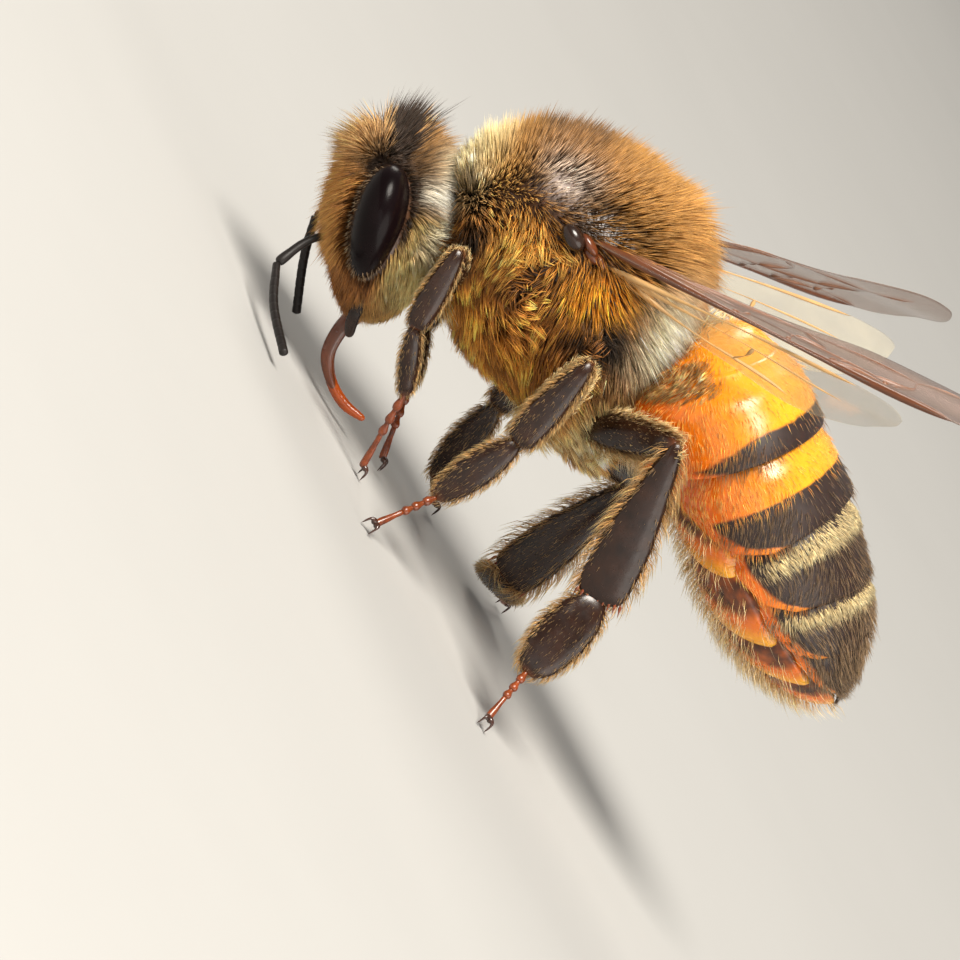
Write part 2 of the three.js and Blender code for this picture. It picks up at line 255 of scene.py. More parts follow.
# Several closed grids as one piece
def makeCluster(name, grids, material, replaced=()):
    points, faceSets, start = [], [], 0
    for grid in grids:
        points.append(closedSkin(grid))
        faceSets += [faces + start for faces in closedFaces(grid.shape[0], grid.shape[1] - 1)]
        start += len(points[-1])
    return makePiece(name, np.concatenate(points), faceSets, material, replaced)


# An open grid with a thickness towards its inner side as one piece
def makePlate(name, surface, thickness, material, replaced=(), values=None):
    grid = surface["points"]
    inner = grid - surface["normals"] * thickness
    points = np.concatenate([grid.reshape(-1, 3), inner.reshape(-1, 3)])
    both = {}
    for label, data in (values or {}).items():
        both[label] = np.concatenate([data.reshape(-1, *data.shape[2:])] * 2)
    return makePiece(name, points, plateFaces(*grid.shape[:2]), material, replaced, both)


# Draws count places on a surface, a cell's odds being its area times the density there
def scatter(surface, count, density):
    grid = surface["points"]
    a, b, c, d = grid[:-1, :-1], grid[1:, :-1], grid[1:, 1:], grid[:-1, 1:]
    area = np.linalg.norm(np.cross(c - a, d - b), axis=-1) / 2
    share = (density[:-1, :-1] + density[1:, 1:]) / 2 * area
    odds = np.cumsum(share.ravel())
    cell = np.searchsorted(odds, chance.random(count) * odds[-1])
    i, j = np.unravel_index(np.minimum(cell, share.size - 1), share.shape)
    s, t = chance.random((2, count))
    result = {}
    for label, data in surface.items():
        if data.ndim == 3:
            s1, t1 = s[:, None], t[:, None]
        else:
            s1, t1 = s, t
        near = mix(data[i, j], data[i + 1, j], s1)
        far = mix(data[i, j + 1], data[i + 1, j + 1], s1)
        result[label] = mix(near, far, t1)
    result["normals"] = unit(result["normals"])
    result["along"] = unit(result["along"])
    return result


# Averages rows that share a label and gives each row its label's average
def meanOf(values, labels):
    count = np.bincount(labels)
    sums = [np.bincount(labels, weights=values[:, k]) for k in range(values.shape[1])]
    return (np.stack(sums, axis=-1) / count[:, None])[labels]


hairShape = {
    "sunk": 0.04,  # mm of each hair below the skin
    "swirlPitch": 4.3,  # radians for each mm of the field that turns the lie
    "midTone": 0.22,  # how far the colour has gone from the root's to the tip's half way up
    "mapPatch": 0.0013,  # half the size of a hair's patch on the bake map
    "mostHairs": 19000,  # in one piece
    "lowest": 0.004,  # mm above the floor
}


# Each hair is a bent pyramid on three sides: its root, root + 0.52 · length · start, and its tip, which is
# root + length · the direction of (start + bend · lie), drawn towards the mean tip of its clump. look holds
# one value or one row for each hair.
def growCoat(name, roots, look, place, material):
    count = len(roots["points"])

    def get(key):
        return np.broadcast_to(np.asarray(look[key], float), (count,))[:, None]

    length = get("length") * np.exp(chance.normal(0, 0.16, (count, 1)))
    swirl = np.sin(roots["points"][:, [1, 2, 0]] * hairShape["swirlPitch"] + np.array([0.0, 2.0, 4.0]))
    lift, lie = np.radians(get("lift")), unit(look["lie"]) + get("swirl") * swirl
    lie = unit(lie - roots["normals"] * np.sum(lie * roots["normals"], axis=-1, keepdims=True))
    wander = chance.normal(0, 1, (count, 3)) * get("stray")
    start = unit(roots["normals"] * np.sin(lift) + lie * np.cos(lift) + wander)
    base = roots["points"] - roots["normals"] * hairShape["sunk"]
    tip = base + (length + hairShape["sunk"]) * unit(start + lie * get("bend"))
    middle = base + (length + hairShape["sunk"]) * 0.52 * start
    warped = base + 0.3 * get("clumpSize") * np.sin(base[:, [1, 2, 0]] * 9)
    cells = np.floor(warped / get("clumpSize")).astype(int)
    labels = np.unique(cells, axis=0, return_inverse=True)[1].ravel()
    tip = mix(tip, meanOf(tip, labels), get("clump"))
    middle = mix(middle, meanOf(middle, labels), get("clump") * 0.35)
    course = unit(tip - base)
    side = unit(np.cross(course, roots["normals"] + 0.01))
    up = np.cross(course, side)
    turn = chance.random((count, 1)) * 2 * np.pi + np.array([0, 2, 4]) * np.pi / 3
    spread = np.cos(turn)[..., None] * side[:, None] + np.sin(turn)[..., None] * up[:, None]
    width = (get("width") * np.exp(chance.normal(0, 0.15, (count, 1))))[..., None]
    rootRing = base[:, None] + spread * width
    middleRing = middle[:, None] + spread * width * 0.85
    points = placed(np.concatenate([rootRing, middleRing, tip[:, None]], axis=1), place)
    points[..., 2] = np.maximum(points[..., 2], hairShape["lowest"])
    lockTone = chance.normal(0, 1, labels.max() + 1)[labels][:, None]
    tone = np.exp(chance.normal(0, 1, (count, 1)) * get("toneSpread") + lockTone * get("lockSpread"))
    rootTone, tipTone = look["rootTone"] * tone, look["tipTone"] * tone
    midTone = mix(rootTone, tipTone, hairShape["midTone"])
    tones = np.stack([rootTone] * 3 + [midTone] * 3 + [tipTone], axis=1)
    patch = np.array([[-1, -1], [0, -1], [1, -1], [-1, 0], [0, 0], [1, 0], [0, 1]]) * hairShape["mapPatch"]
    centre = np.stack([roots["v"], roots["u"]], axis=-1)
    maps = np.clip(centre, 0.002, 0.998)[:, None] + patch
    quads = np.array([[0, 1, 4, 3], [1, 2, 5, 4], [2, 0, 3, 5]])
    threes = np.array([[3, 4, 6], [4, 5, 6], [5, 3, 6], [0, 2, 1]])
    groups = -(-count // hairShape["mostHairs"])
    for k in range(groups):
        own = slice(k, None, groups)
        size = len(points[own])
        first = 7 * np.arange(size)[:, None, None]
        faces = [(quads + first).reshape(-1, 4), (threes + first).reshape(-1, 3)]
        makePiece(
            name + (str(k + 1) if groups > 1 else ""),
            points[own].reshape(-1, 3),
            faces,
            material,
            values={"coatTone": np.clip(tones[own].reshape(-1, 3), 0, 1)},
            bakeMap=maps[own].reshape(-1, 2),
        )
    print(name, count, "hairs")


# Looks are blended in order: each layer is a mask and the values that it brings
def layered(count, base, layers):
    look = {}
    for key, value in base.items():
        look[key] = np.broadcast_to(np.asarray(value, float), (count, *np.shape(value))).copy()
    for mask, values in layers:
        mask = np.clip(mask, 0, 1)
        for key, value in values.items():
            share = mask[:, None] if look[key].ndim == 2 else mask
            look[key] = mix(look[key], np.asarray(value, float), share)
    return look


# One layer for each place (name of a look, weight, middle, radii): its mask is weight · spot
def placeLayers(points, coat, places):
    return [(weight * spot(points, *place), coat[name]) for name, weight, *place in places]


def newMaterial(name):
    material = bpy.data.materials.new(name)
    material.use_nodes = True
    tree = material.node_tree
    return material, tree, tree.nodes["Principled BSDF"]


# Wires a socket in, or sets a number or colour on the input itself
def feed(tree, socketShade, value):
    if isinstance(value, bpy.types.NodeSocket):
        tree.links.new(value, socketShade)
    else:
        socketShade.default_value = value


# Adds a node; settings are its properties, and inputs go by name, or by number after an underscore
def addNode(tree, kind, settings=None, **inputs):
    node = tree.nodes.new("ShaderNode" + kind)
    for key, value in (settings or {}).items():
        setattr(node, key, value)
    for key, value in inputs.items():
        feed(tree, node.inputs[int(key[1:]) if key[0] == "_" else key], value)
    return node


def setShader(shader, tree, **inputs):
    for key, value in inputs.items():
        feed(tree, shader.inputs[key.replace("_", " ")], value)


def useGroup(tree, group, **inputs):
    return addNode(tree, "Group", {"node_tree": group}, **inputs)


def objectPlace(tree):
    return addNode(tree, "TexCoord").outputs["Object"]


def readAttribute(tree, label):
    return addNode(tree, "Attribute", {"attribute_name": label}).outputs["Fac"]


# One step of sums on up to three numbers
def reckon(tree, operation, *numbers):
    inputs = {f"_{k}": number for k, number in enumerate(numbers)}
    return addNode(tree, "Math", {"operation": operation}, **inputs).outputs[0]


# first + (second - first) · share on colours
def blendTones(tree, share, first, second):
    return addNode(tree, "Mix", {"data_type": "RGBA"}, _0=share, _6=first, _7=second).outputs[2]


def addBump(tree, height, strength, depth=0.00001):
    return addNode(tree, "Bump", Height=height, Strength=strength, Distance=depth).outputs[0]


# Light goes a little way under the surface, red furthest
def addGlow(shader, tree, weight, radius=(1.0, 0.35, 0.1)):
    setShader(shader, tree, Subsurface_Weight=weight, Subsurface_Scale=0.0003, Subsurface_Radius=radius)


# 3t² - 2t³ as in ramp, from low to high
def rampNode(tree, low, high, value):
    settings = {"interpolation_type": "SMOOTHSTEP"}
    return addNode(tree, "MapRange", settings, Value=value, _1=low, _2=high).outputs[0]


# low + (high - low) · share
def mixNode(tree, low, high, share):
    return addNode(tree, "MapRange", Value=share, _3=low, _4=high).outputs[0]


# Starts a shader node group with the named inputs {name: (kind, value)} and outputs {name: kind}
def newGroup(name, inputs, outputs):
    group = bpy.data.node_groups.new(name, "ShaderNodeTree")
    for label, (kind, value) in inputs.items():
        socketShade = group.interface.new_socket(label, in_out="INPUT", socket_type="NodeSocket" + kind)
        socketShade.default_value = value
    for label, kind in outputs.items():
        group.interface.new_socket(label, in_out="OUTPUT", socket_type="NodeSocket" + kind)
    source, result = group.nodes.new("NodeGroupInput"), group.nodes.new("NodeGroupOutput")
    return group, source.outputs, result.inputs


# Colour drift: the colour times 1 + 3 · amount · (noise - 0.5)
def makeToneDrift():
    group, source, result = newGroup(
        "toneDrift",
        {"Colour": ("Color", (0.5, 0.5, 0.5, 1)), "Amount": ("Float", 0.3), "Scale": ("Float", 2500.0)},
        {"Colour": "Color", "Value": "Float"},
    )
    noise = addNode(
        group, "TexNoise", Vector=objectPlace(group), Scale=source["Scale"], Detail=4.0, Roughness=0.6
    ).outputs["Fac"]
    swing = reckon(group, "MULTIPLY", reckon(group, "SUBTRACT", noise, 0.5), source["Amount"])
    gain = reckon(group, "MULTIPLY_ADD", swing, 3.0, 1.0)
    toned = addNode(group, "VectorMath", {"operation": "SCALE"}, _0=source["Colour"], Scale=gain)
    group.links.new(toned.outputs[0], result["Colour"])
    group.links.new(noise, result["Value"])
    return group


# Cuticle grain: fine pits from cells, with a soft unevenness; the height goes to a Bump node
def makeShellGrain():
    group, source, result = newGroup(
        "shellGrain",
        {"Pits": ("Float", 1.0), "Scale": ("Float", 30000.0), "Unevenness": ("Float", 0.5)},
        {"Height": "Float", "Roughness": "Float"},
    )
    place = objectPlace(group)
    cells = addNode(group, "TexVoronoi", Vector=place, Scale=source["Scale"])
    pit = reckon(group, "SMOOTH_MIN", cells.outputs["Distance"], 0.35, 0.2)
    deep = reckon(group, "MULTIPLY", pit, source["Pits"])
    wide = addNode(group, "TexNoise", Vector=place, Scale=6000.0, Detail=3.0).outputs["Fac"]
    soft = reckon(group, "MULTIPLY", wide, source["Unevenness"])
    group.links.new(reckon(group, "ADD", deep, soft), result["Height"])
    group.links.new(reckon(group, "MULTIPLY_ADD", wide, 0.3, -0.15), result["Roughness"])
    return group


# Down: streaks of very short hair lying along the body, as a height
def makeShortDown():
    group, source, result = newGroup(
        "shortDown", {"Along": ("Float", 9000.0), "Across": ("Float", 42000.0)}, {"Height": "Float"}
    )
    scale = addNode(group, "CombineXYZ", X=source["Along"], Y=source["Across"], Z=source["Across"])
    stretched = addNode(
        group, "VectorMath", {"operation": "MULTIPLY"}, _0=objectPlace(group), _1=scale.outputs[0]
    )
    streaks = addNode(group, "TexNoise", Vector=stretched.outputs[0], Scale=1.0, Detail=2.0)
    group.links.new(streaks.outputs["Fac"], result["Height"])
    return group


toneDrift = makeToneDrift()
shellGrain = makeShellGrain()
shortDown = makeShortDown()


def colour(values):
    return (*values, 1.0)


# Dark or coloured cuticle: its colour drifts, and its gloss and bump come from the grain. In a look,
# drift is an amount and a scale, pits a depth, a scale and an unevenness, and finish the roughness,
# the bump and the varnish. The attribute "bare" mixes in the second tone where there is one: a real
# red brown at the ends of leg parts, and a painted highlight, pale grey, on the thorax's bare patch.
def makeCuticle(name, look):
    material, tree, shader = newMaterial(name)
    amount, driftScale = look["drift"]
    pits, pitScale, uneven = look["pits"]
    rough, bumpStrength, varnish = look["finish"]
    drifted = useGroup(tree, toneDrift, Colour=colour(look["tone"]), Amount=amount, Scale=driftScale)
    tone = drifted.outputs["Colour"]
    if "tintAndSheenTone" in look:
        tone = blendTones(tree, readAttribute(tree, "bare"), tone, colour(look["tintAndSheenTone"]))
    grain = useGroup(tree, shellGrain, Pits=pits, Scale=pitScale, Unevenness=uneven)
    roughness = reckon(tree, "ADD", grain.outputs["Roughness"], rough)
    bump = addBump(tree, grain.outputs["Height"], bumpStrength)
    setShader(shader, tree, Base_Color=tone, Roughness=roughness, Normal=bump)
    setShader(shader, tree, Coat_Weight=varnish, Coat_Roughness=0.14)
    setShader(shader, tree, Specular_IOR_Level=look.get("gloss", 0.4))
    if "glow" in look:
        addGlow(shader, tree, look["glow"])
    return material


# Hair: its colour rides on the mesh, drifts a little, and has a soft sheen
def makeHair(name, look):
    material, tree, shader = newMaterial(name)
    paint = addNode(tree, "Attribute", {"attribute_name": "coatTone"}).outputs["Color"]
    tone = useGroup(tree, toneDrift, Colour=paint, Amount=look["drift"], Scale=5000.0).outputs["Colour"]
    setShader(shader, tree, Base_Color=tone, Roughness=look["rough"], Specular_IOR_Level=look["gloss"])
    setShader(shader, tree, Sheen_Weight=look["sheen"], Sheen_Roughness=0.4)
    setShader(shader, tree, Sheen_Tint=colour(look["sheenTone"]))
    return material


hairLooks = {
    "goldHair": {"drift": 0.3, "rough": 0.45, "gloss": 0.25, "sheen": 0.04, "sheenTone": (1.0, 0.85, 0.6)},
    "fineHair": {"drift": 0.2, "rough": 0.42, "gloss": 0.4, "sheen": 0.05, "sheenTone": (1.0, 0.9, 0.75)},
}
shellLooks = {
    "darkShell": {
        "tone": (0.017, 0.0062, 0.003), "drift": (0.9, 2200.0), "pits": (0.6, 30000.0, 0.6),
        "finish": (0.24, 0.4, 0.0), "gloss": 0.38, "tintAndSheenTone": (0.13, 0.036, 0.01),
    },
    "bodyShell": {
        "tone": (0.05, 0.02, 0.007), "drift": (0.5, 3000.0), "pits": (1.0, 22000.0, 0.5),
        "finish": (0.34, 0.6, 0.3),
    },
    "thoraxShell": {
        "tone": (0.05, 0.02, 0.007), "drift": (0.5, 3000.0), "pits": (0.8, 22000.0, 0.5),
        # The second tone here is a painted highlight: the pale grey that the shining bare patch shows in
        # the light.
        "finish": (0.3, 0.5, 0.12), "tintAndSheenTone": (0.46, 0.39, 0.36),
    },
    "redShell": {
        "tone": (0.16, 0.032, 0.006), "drift": (0.8, 5000.0), "pits": (0.4, 36000.0, 0.8),
        "finish": (0.26, 0.4, 0.3), "glow": 0.1,
    },
    "tongueShell": {
        "tone": (0.11, 0.024, 0.005), "drift": (0.35, 4000.0), "pits": (0.2, 40000.0, 0.7),
        "finish": (0.24, 0.3, 0.5), "glow": 0.25,
    },
    "lashShell": {
        "tone": (0.01, 0.0075, 0.0065), "drift": (0.4, 5000.0), "pits": (0.8, 40000.0, 0.3),
        "finish": (0.45, 0.4, 0.0), "gloss": 0.3,
    },
    "tegulaShell": {
        "tone": (0.016, 0.006, 0.003), "drift": (0.6, 4000.0), "pits": (0.4, 30000.0, 1.0),
        "finish": (0.26, 0.5, 0.3), "gloss": 0.3,
    },
    "hingeShell": {
        "tone": (0.1, 0.024, 0.006), "drift": (0.6, 5000.0), "pits": (0.4, 36000.0, 0.8),
        "finish": (0.28, 0.4, 0.3),
    },
    "clawShell": {
        "tone": (0.04, 0.014, 0.008), "drift": (0.3, 6000.0), "pits": (0.1, 40000.0, 0.3),
        "finish": (0.22, 0.15, 0.5),
    },
    "edgeVein": {
        "tone": (0.11, 0.034, 0.012), "drift": (0.4, 2500.0), "pits": (0.2, 40000.0, 0.5),
        "finish": (0.34, 0.2, 0.2),
    },
    "foreVein": {
        "tone": (0.17, 0.075, 0.04), "drift": (0.4, 2500.0), "pits": (0.2, 40000.0, 0.5),
        "finish": (0.36, 0.2, 0.1),
    },
    "hindVein": {
        "tone": (0.5, 0.3, 0.12), "drift": (0.3, 2500.0), "pits": (0.2, 40000.0, 0.5),
        "finish": (0.36, 0.2, 0.1),
    },
}
hairs = {name: makeHair(name, look) for name, look in hairLooks.items()}
shells = {name: makeCuticle(name, look) for name, look in shellLooks.items()}
print("materials made")

view = {
    "azimuth": 8.0,  # degrees round the bee, 0 looks along +Y
    "elevation": 8.0,
    "roll": 60.0,  # the ground lies to the left in the picture
    "aim": (0.0, 0.0, 1.767),  # mm, in the bee's frame
    "distance": 160.0,
    "frameWidth": 17.78,
    "sensor": 36.0,
}


# The camera looks along d = (sin A cos E, cos A cos E, -sin E), and the roll turns its level right and up
def makeCamera():
    azimuth, elevation, roll = np.radians([view["azimuth"], view["elevation"], view["roll"]])
    look = np.array(
        [np.sin(azimuth) * np.cos(elevation), np.cos(azimuth) * np.cos(elevation), -np.sin(elevation)]
    )
    level = np.array([np.cos(azimuth), -np.sin(azimuth), 0.0])
    rise = np.cross(level, look)
    right = level * np.cos(roll) + rise * np.sin(roll)
    up = rise * np.cos(roll) - level * np.sin(roll)
    data = bpy.data.cameras.new("camera")
    data.sensor_width = view["sensor"]
    data.lens = view["sensor"] * view["distance"] / view["frameWidth"]
    data.clip_start, data.clip_end = 0.005, 10.0
    camera = bpy.data.objects.new("camera", data)
    bpy.context.scene.collection.objects.link(camera)
    stand = toFrame(np.array(view["aim"]) - look * view["distance"])
    turn = np.eye(4)
    turn[:3, 0], turn[:3, 1], turn[:3, 2], turn[:3, 3] = right, up, -look, stand
    camera.matrix_world = Matrix(turn.tolist())
    bpy.context.scene.camera = camera
    return right, up, -look


rightward, upward, towards = makeCamera()

lamps = {
    # name: (right, up and towards the camera, from the bee), distance m, size m, watts, colour
    "keyLamp": ((0.53, 0.52, 0.67), 0.3, 0.15, 1.9, (1.0, 0.94, 0.85)),
    "fillLamp": ((-0.1, -0.5, 0.8), 0.4, 0.5, 0.8, (1.0, 0.97, 0.93)),
    "sideLamp": ((0.62, -0.65, 0.5), 0.35, 0.3, 0.7, (1.0, 0.95, 0.87)),
    "rimLamp": ((0.35, 0.85, -0.65), 0.3, 0.12, 0.4, (1.0, 0.94, 0.84)),
}


def makeLamps():
    for name, (course, distance, size, watts, tone) in lamps.items():
        data = bpy.data.lights.new(name, "AREA")
        data.shape, data.size, data.energy, data.color = "DISK", size, watts, tone
        lamp = bpy.data.objects.new(name, data)
        bpy.context.scene.collection.objects.link(lamp)
        away = unit(rightward * course[0] + upward * course[1] + towards * course[2])
        lamp.location = toFrame(np.array([0.0, 0.0, 4.0])) + away * distance
        lamp.rotation_mode = "QUATERNION"
        lamp.rotation_quaternion = Vector(away).to_track_quat("Z", "Y")


makeLamps()

surround = {
    "tone": (0.86, 0.84, 0.81),
    "strength": 0.36,
    "floorTone": (0.37, 0.368, 0.36),
    "floorHalf": 1500.0,  # mm
}


def makeSurround():
    world = bpy.data.worlds.new("surround")
    world.use_nodes = True
    back = world.node_tree.nodes["Background"]
    back.inputs["Color"].default_value = colour(surround["tone"])
    back.inputs["Strength"].default_value = surround["strength"]
    bpy.context.scene.world = world
    bpy.context.scene.view_settings.view_transform = "Standard"
    half = surround["floorHalf"]
    corners = np.array([[-half, -half, 0], [half, -half, 0], [half, half, 0], [-half, half, 0]], float)
    mesh = bpy.data.meshes.new("floor")
    mesh.from_pydata(toFrame(corners).tolist(), [], [[0, 1, 2, 3]])
    floor = bpy.data.objects.new("floor", mesh)
    bpy.context.scene.collection.objects.link(floor)
    material, tree, shader = newMaterial("floorCard")
    tone = useGroup(tree, toneDrift, Colour=colour(surround["floorTone"]), Amount=0.03, Scale=60.0)
    setShader(shader, tree, Base_Color=tone.outputs["Colour"], Roughness=0.7, Specular_IOR_Level=0.3)
    mesh.materials.append(material)


makeSurround()
print("camera, lamps and floor made")

headPlace = {"centre": (-4.9, 0.0, 2.75), "pitch": 47.6}
headForm = {
    # x from the crown to the mouth, z at the nape, z at the face, half width
    "stations": [
        [-1.53, -0.1, -0.14, 0.0], [-1.46, 0.14, -0.45, 0.5], [-1.22, 0.4, -0.73, 0.95],
        [-0.8, 0.64, -0.9, 1.3], [-0.3, 0.75, -0.92, 1.48], [0.2, 0.8, -0.83, 1.48],
        [0.6, 0.77, -0.67, 1.32], [1.0, 0.69, -0.53, 1.0], [1.33, 0.52, -0.4, 0.7],
        [1.53, 0.3, -0.28, 0.42], [1.62, 0.0, 0.0, 0.0],
    ],
    "clypeus": ((0.95, 0.0, -0.55), (0.65, 0.5, 0.4), 0.14),  # middle, radii, how far it stands out
    "eye": ((-0.27, 1.2, -0.24), (1.1, 0.77, 0.49)),  # middle, half sizes
    "eyeTaper": 0.1,  # the eye narrows towards the mouth
    "ocelli": [(-1.33, 0.0, -0.52, 0.13), (-1.42, 0.3, -0.24, 0.12), (-1.42, -0.3, -0.24, 0.12)],
}


def headGrid():
    grid = bodyGrid(headForm["stations"], 70, 96, 2.2)
    centre, radii, out = headForm["clypeus"]
    grid[..., 2] -= out * spot(grid, centre, radii) * (grid[..., 2] < 0)
    return grid


# x = long · t, and (y, z) = half sizes · sqrt(1 - t²) · (cos a, sin a), narrower as t grows
def eyeGrid(side):
    (x, y, z), (long, deep, broad) = headForm["eye"]
    t = -np.cos(np.linspace(0, np.pi, 60))[:, None]
    angle = np.linspace(0, 2 * np.pi, 73)
    girth = np.sqrt(np.maximum(1 - t**2, 0)) * (1 - headForm["eyeTaper"] * t)
    across, upward = deep * girth * np.cos(angle), broad * girth * np.sin(angle)
    return np.stack([x + long * t + 0 * angle, side * (y + across), z + upward], axis=-1)


# Compound eye: near black, with a bump of packed facets
def makeEyeShell():
    material, tree, shader = newMaterial("eyeShell")
    cells = {"feature": "SMOOTH_F1"}
    facets = addNode(tree, "TexVoronoi", cells, Vector=objectPlace(tree), Scale=30000.0, Smoothness=0.3)
    bump = addBump(tree, facets.outputs["Distance"], 0.22, 0.000006)
    tone = useGroup(tree, toneDrift, Colour=(0.004, 0.0018, 0.0022, 1), Amount=0.5, Scale=1800.0)
    setShader(shader, tree, Base_Color=tone.outputs["Colour"], Roughness=0.26, Normal=bump)
    setShader(shader, tree, Coat_Weight=0.03, Coat_Roughness=0.1, Specular_IOR_Level=0.08)
    return material


# centre + half sizes · (cos t, sin t · cos a, sin t · sin a)
def ellipsoid(centre, half, rows=16, columns=24):
    t = np.linspace(0, np.pi, rows)[:, None]
    a = np.linspace(0, 2 * np.pi, columns + 1)
    ball = np.stack([np.cos(t) + 0 * a, np.sin(t) * np.cos(a), np.sin(t) * np.sin(a)], axis=-1)
    return np.array(centre) + ball * np.array(half)


headSurface = surfaceOf(headGrid())
makeSkin("headShell", placed(headSurface["points"], headPlace), shells["bodyShell"], ["head"])
eyeShell = makeEyeShell()
eyeSurfaces = {side: surfaceOf(eyeGrid(side)) for side, word in bothSides}
for side, word in bothSides:
    grid = placed(eyeSurfaces[side]["points"], headPlace)
    makeSkin("eye" + word, grid, eyeShell, ["eye_" + word.lower()])
ocelli = [placed(ellipsoid(centre, (half,) * 3), headPlace) for *centre, half in headForm["ocelli"]]
makeCluster("ocelli", ocelli, eyeShell)

# Each table of widths gives the share of the length, the half width and the half thickness
mouthForm = {
    "jawPath": [(-4.1, 0.66, 1.78), (-3.88, 0.62, 1.4), (-3.58, 0.42, 1.1)],  # on the right
    "jaw": [
        [-0.05, 0, 0], [0, 0.16, 0.12], [0.3, 0.12, 0.1], [0.7, 0.11, 0.08], [0.95, 0.06, 0.05],
        [1, 0, 0],
    ],
    "tongue": [
        (-3.87, 0, 1.6), (-3.72, 0, 0.95), (-3.45, 0, 0.55), (-3.05, 0, 0.36), (-2.5, 0, 0.33),
        (-2.05, 0, 0.5),
    ],
    "tongueWidths": [
        [0, 0, 0], [0.01, 0.12, 0.12], [0.3, 0.115, 0.115], [0.6, 0.105, 0.105], [0.88, 0.09, 0.095],
        [0.98, 0.06, 0.06], [1, 0, 0],
    ],
    "ringDepth": 0.03,  # how far the tongue's rings swell, as a share of its width
    "sheath": [
        [0, 0, 0], [0.01, 0.09, 0.15], [0.25, 0.085, 0.145], [0.5, 0.07, 0.12], [0.66, 0.035, 0.06],
        [0.7, 0, 0],
    ],
    "sheathApart": 0.085,
    "rootTone": (0.03, 0.007, 0.002, 1),
    "tipTone": (0.36, 0.06, 0.004, 1),
}


# Tongue: dark brown at its root, and clear orange red towards its tip
def makeTongueShell():
    material, tree, shader = newMaterial("tongueBlend")
    share = rampNode(tree, 0.2, 0.85, readAttribute(tree, "tipward"))
    blend = blendTones(tree, share, mouthForm["rootTone"], mouthForm["tipTone"])
    tone = useGroup(tree, toneDrift, Colour=blend, Amount=0.3, Scale=4000.0)
    grain = useGroup(tree, shellGrain, Pits=0.2, Scale=40000.0, Unevenness=0.7)
    bump = addBump(tree, grain.outputs["Height"], 0.3)
    setShader(shader, tree, Base_Color=tone.outputs["Colour"], Roughness=0.24, Normal=bump)
    setShader(shader, tree, Coat_Weight=0.15, Coat_Roughness=0.12)
    addGlow(shader, tree, 0.1)
    return material


def makeMouth():
    for side, word in bothSides:
        path = np.array(mouthForm["jawPath"]) * np.array([1, side, 1])
        jaw = carriedGrid(path, splineThrough(mouthForm["jaw"], 24), np.array([0, side, 0.2]), 24, 2.4)
        makeSkin("mandible" + word, jaw, shells["darkShell"], ["mandible_" + word.lower()])
    tongue = np.array(mouthForm["tongue"], float)
    facing = np.array([-0.5, 0, -1.0])
    glossa = carriedGrid(tongue, splineThrough(mouthForm["tongueWidths"], 90), facing, 24)
    rings = 1 + mouthForm["ringDepth"] * np.sin(np.arange(90) * 2.1)[:, None, None]
    middle = glossa.mean(axis=1, keepdims=True)
    tipward = np.broadcast_to(np.linspace(0, 1, len(glossa))[:, None], glossa.shape[:2])
    skin = middle + (glossa - middle) * rings
    makeSkin("tongueTip", skin, makeTongueShell(), ["tongue_tip"], {"tipward": tipward})
    sheaths = []
    for side, word in bothSides:
        path = tongue + [0, side * mouthForm["sheathApart"], 0]
        sheaths.append(carriedGrid(path, splineThrough(mouthForm["sheath"], 60), facing, 18))
    makeCluster("tongueSheath", sheaths, shells["tongueShell"], ["tongue_base"])


makeMouth()

antennaForm = {
    "left": [
        (-5.0, -0.3, 2.5), (-5.53, -0.7, 1.45), (-5.5, -1.0, 0.76), (-5.03, -1.8, 0.48),
        (-4.2, -2.95, 0.3),
    ],
    "right": [
        (-5.0, 0.3, 2.5), (-5.5, 0.62, 2.05), (-5.69, 0.95, 1.55), (-5.2, 1.0, 1.03), (-4.3, 0.85, 0.3),
    ],
    "facing": np.array([-1.0, 0.2, 0.3]),
    "scape": [
        [-0.01, 0, 0], [0, 0.07, 0.07], [0.25, 0.065, 0.065], [0.8, 0.085, 0.085], [0.97, 0.09, 0.09],
        [1, 0, 0],
    ],
    "lashThickness": 0.086,
    "lashRoot": 0.86,  # how thick the lash is at its root, as a share
    "lashJoints": 11,  # the small link at the elbow and ten rings
    "lashNeck": 0.07,  # how much thinner the lash is at each joint
}


# The lash's half width is thickness · (1 - neck · e^-(d/0.1)²), where d counts rings from the nearest
# joint, and it is thinner towards its root and closes at its ends
def lashTable(rows=150):
    t = np.linspace(0, 1, rows)
    ring = t * antennaForm["lashJoints"]
    near = np.abs(ring - np.round(ring)) / 0.1
    half = antennaForm["lashThickness"] * (1 - antennaForm["lashNeck"] * np.exp(-near**2))
    half = half * mix(antennaForm["lashRoot"], 1, ramp(0, 0.25, t))
    half = half * np.sqrt(np.clip((1.0 - t) / 0.02, 0, 1)) * np.sqrt(np.clip(t / 0.01, 0, 1))
    return np.stack([t, half, half], axis=-1)


for side, word in bothSides:
    points = np.array(antennaForm[word.lower()])
    scape = carriedGrid(points[:3], splineThrough(antennaForm["scape"], 40), antennaForm["facing"], 20)
    lash = carriedGrid(points[2:], lashTable(), antennaForm["facing"], 20)
    for part, node, grid in (("scape", "scape", scape), ("lash", "flagellum", lash)):
        makeSkin(part + word, grid, shells["lashShell"], [f"antenna_{word.lower()}_{node}"])
print("head, eyes, mouth and antennae made")

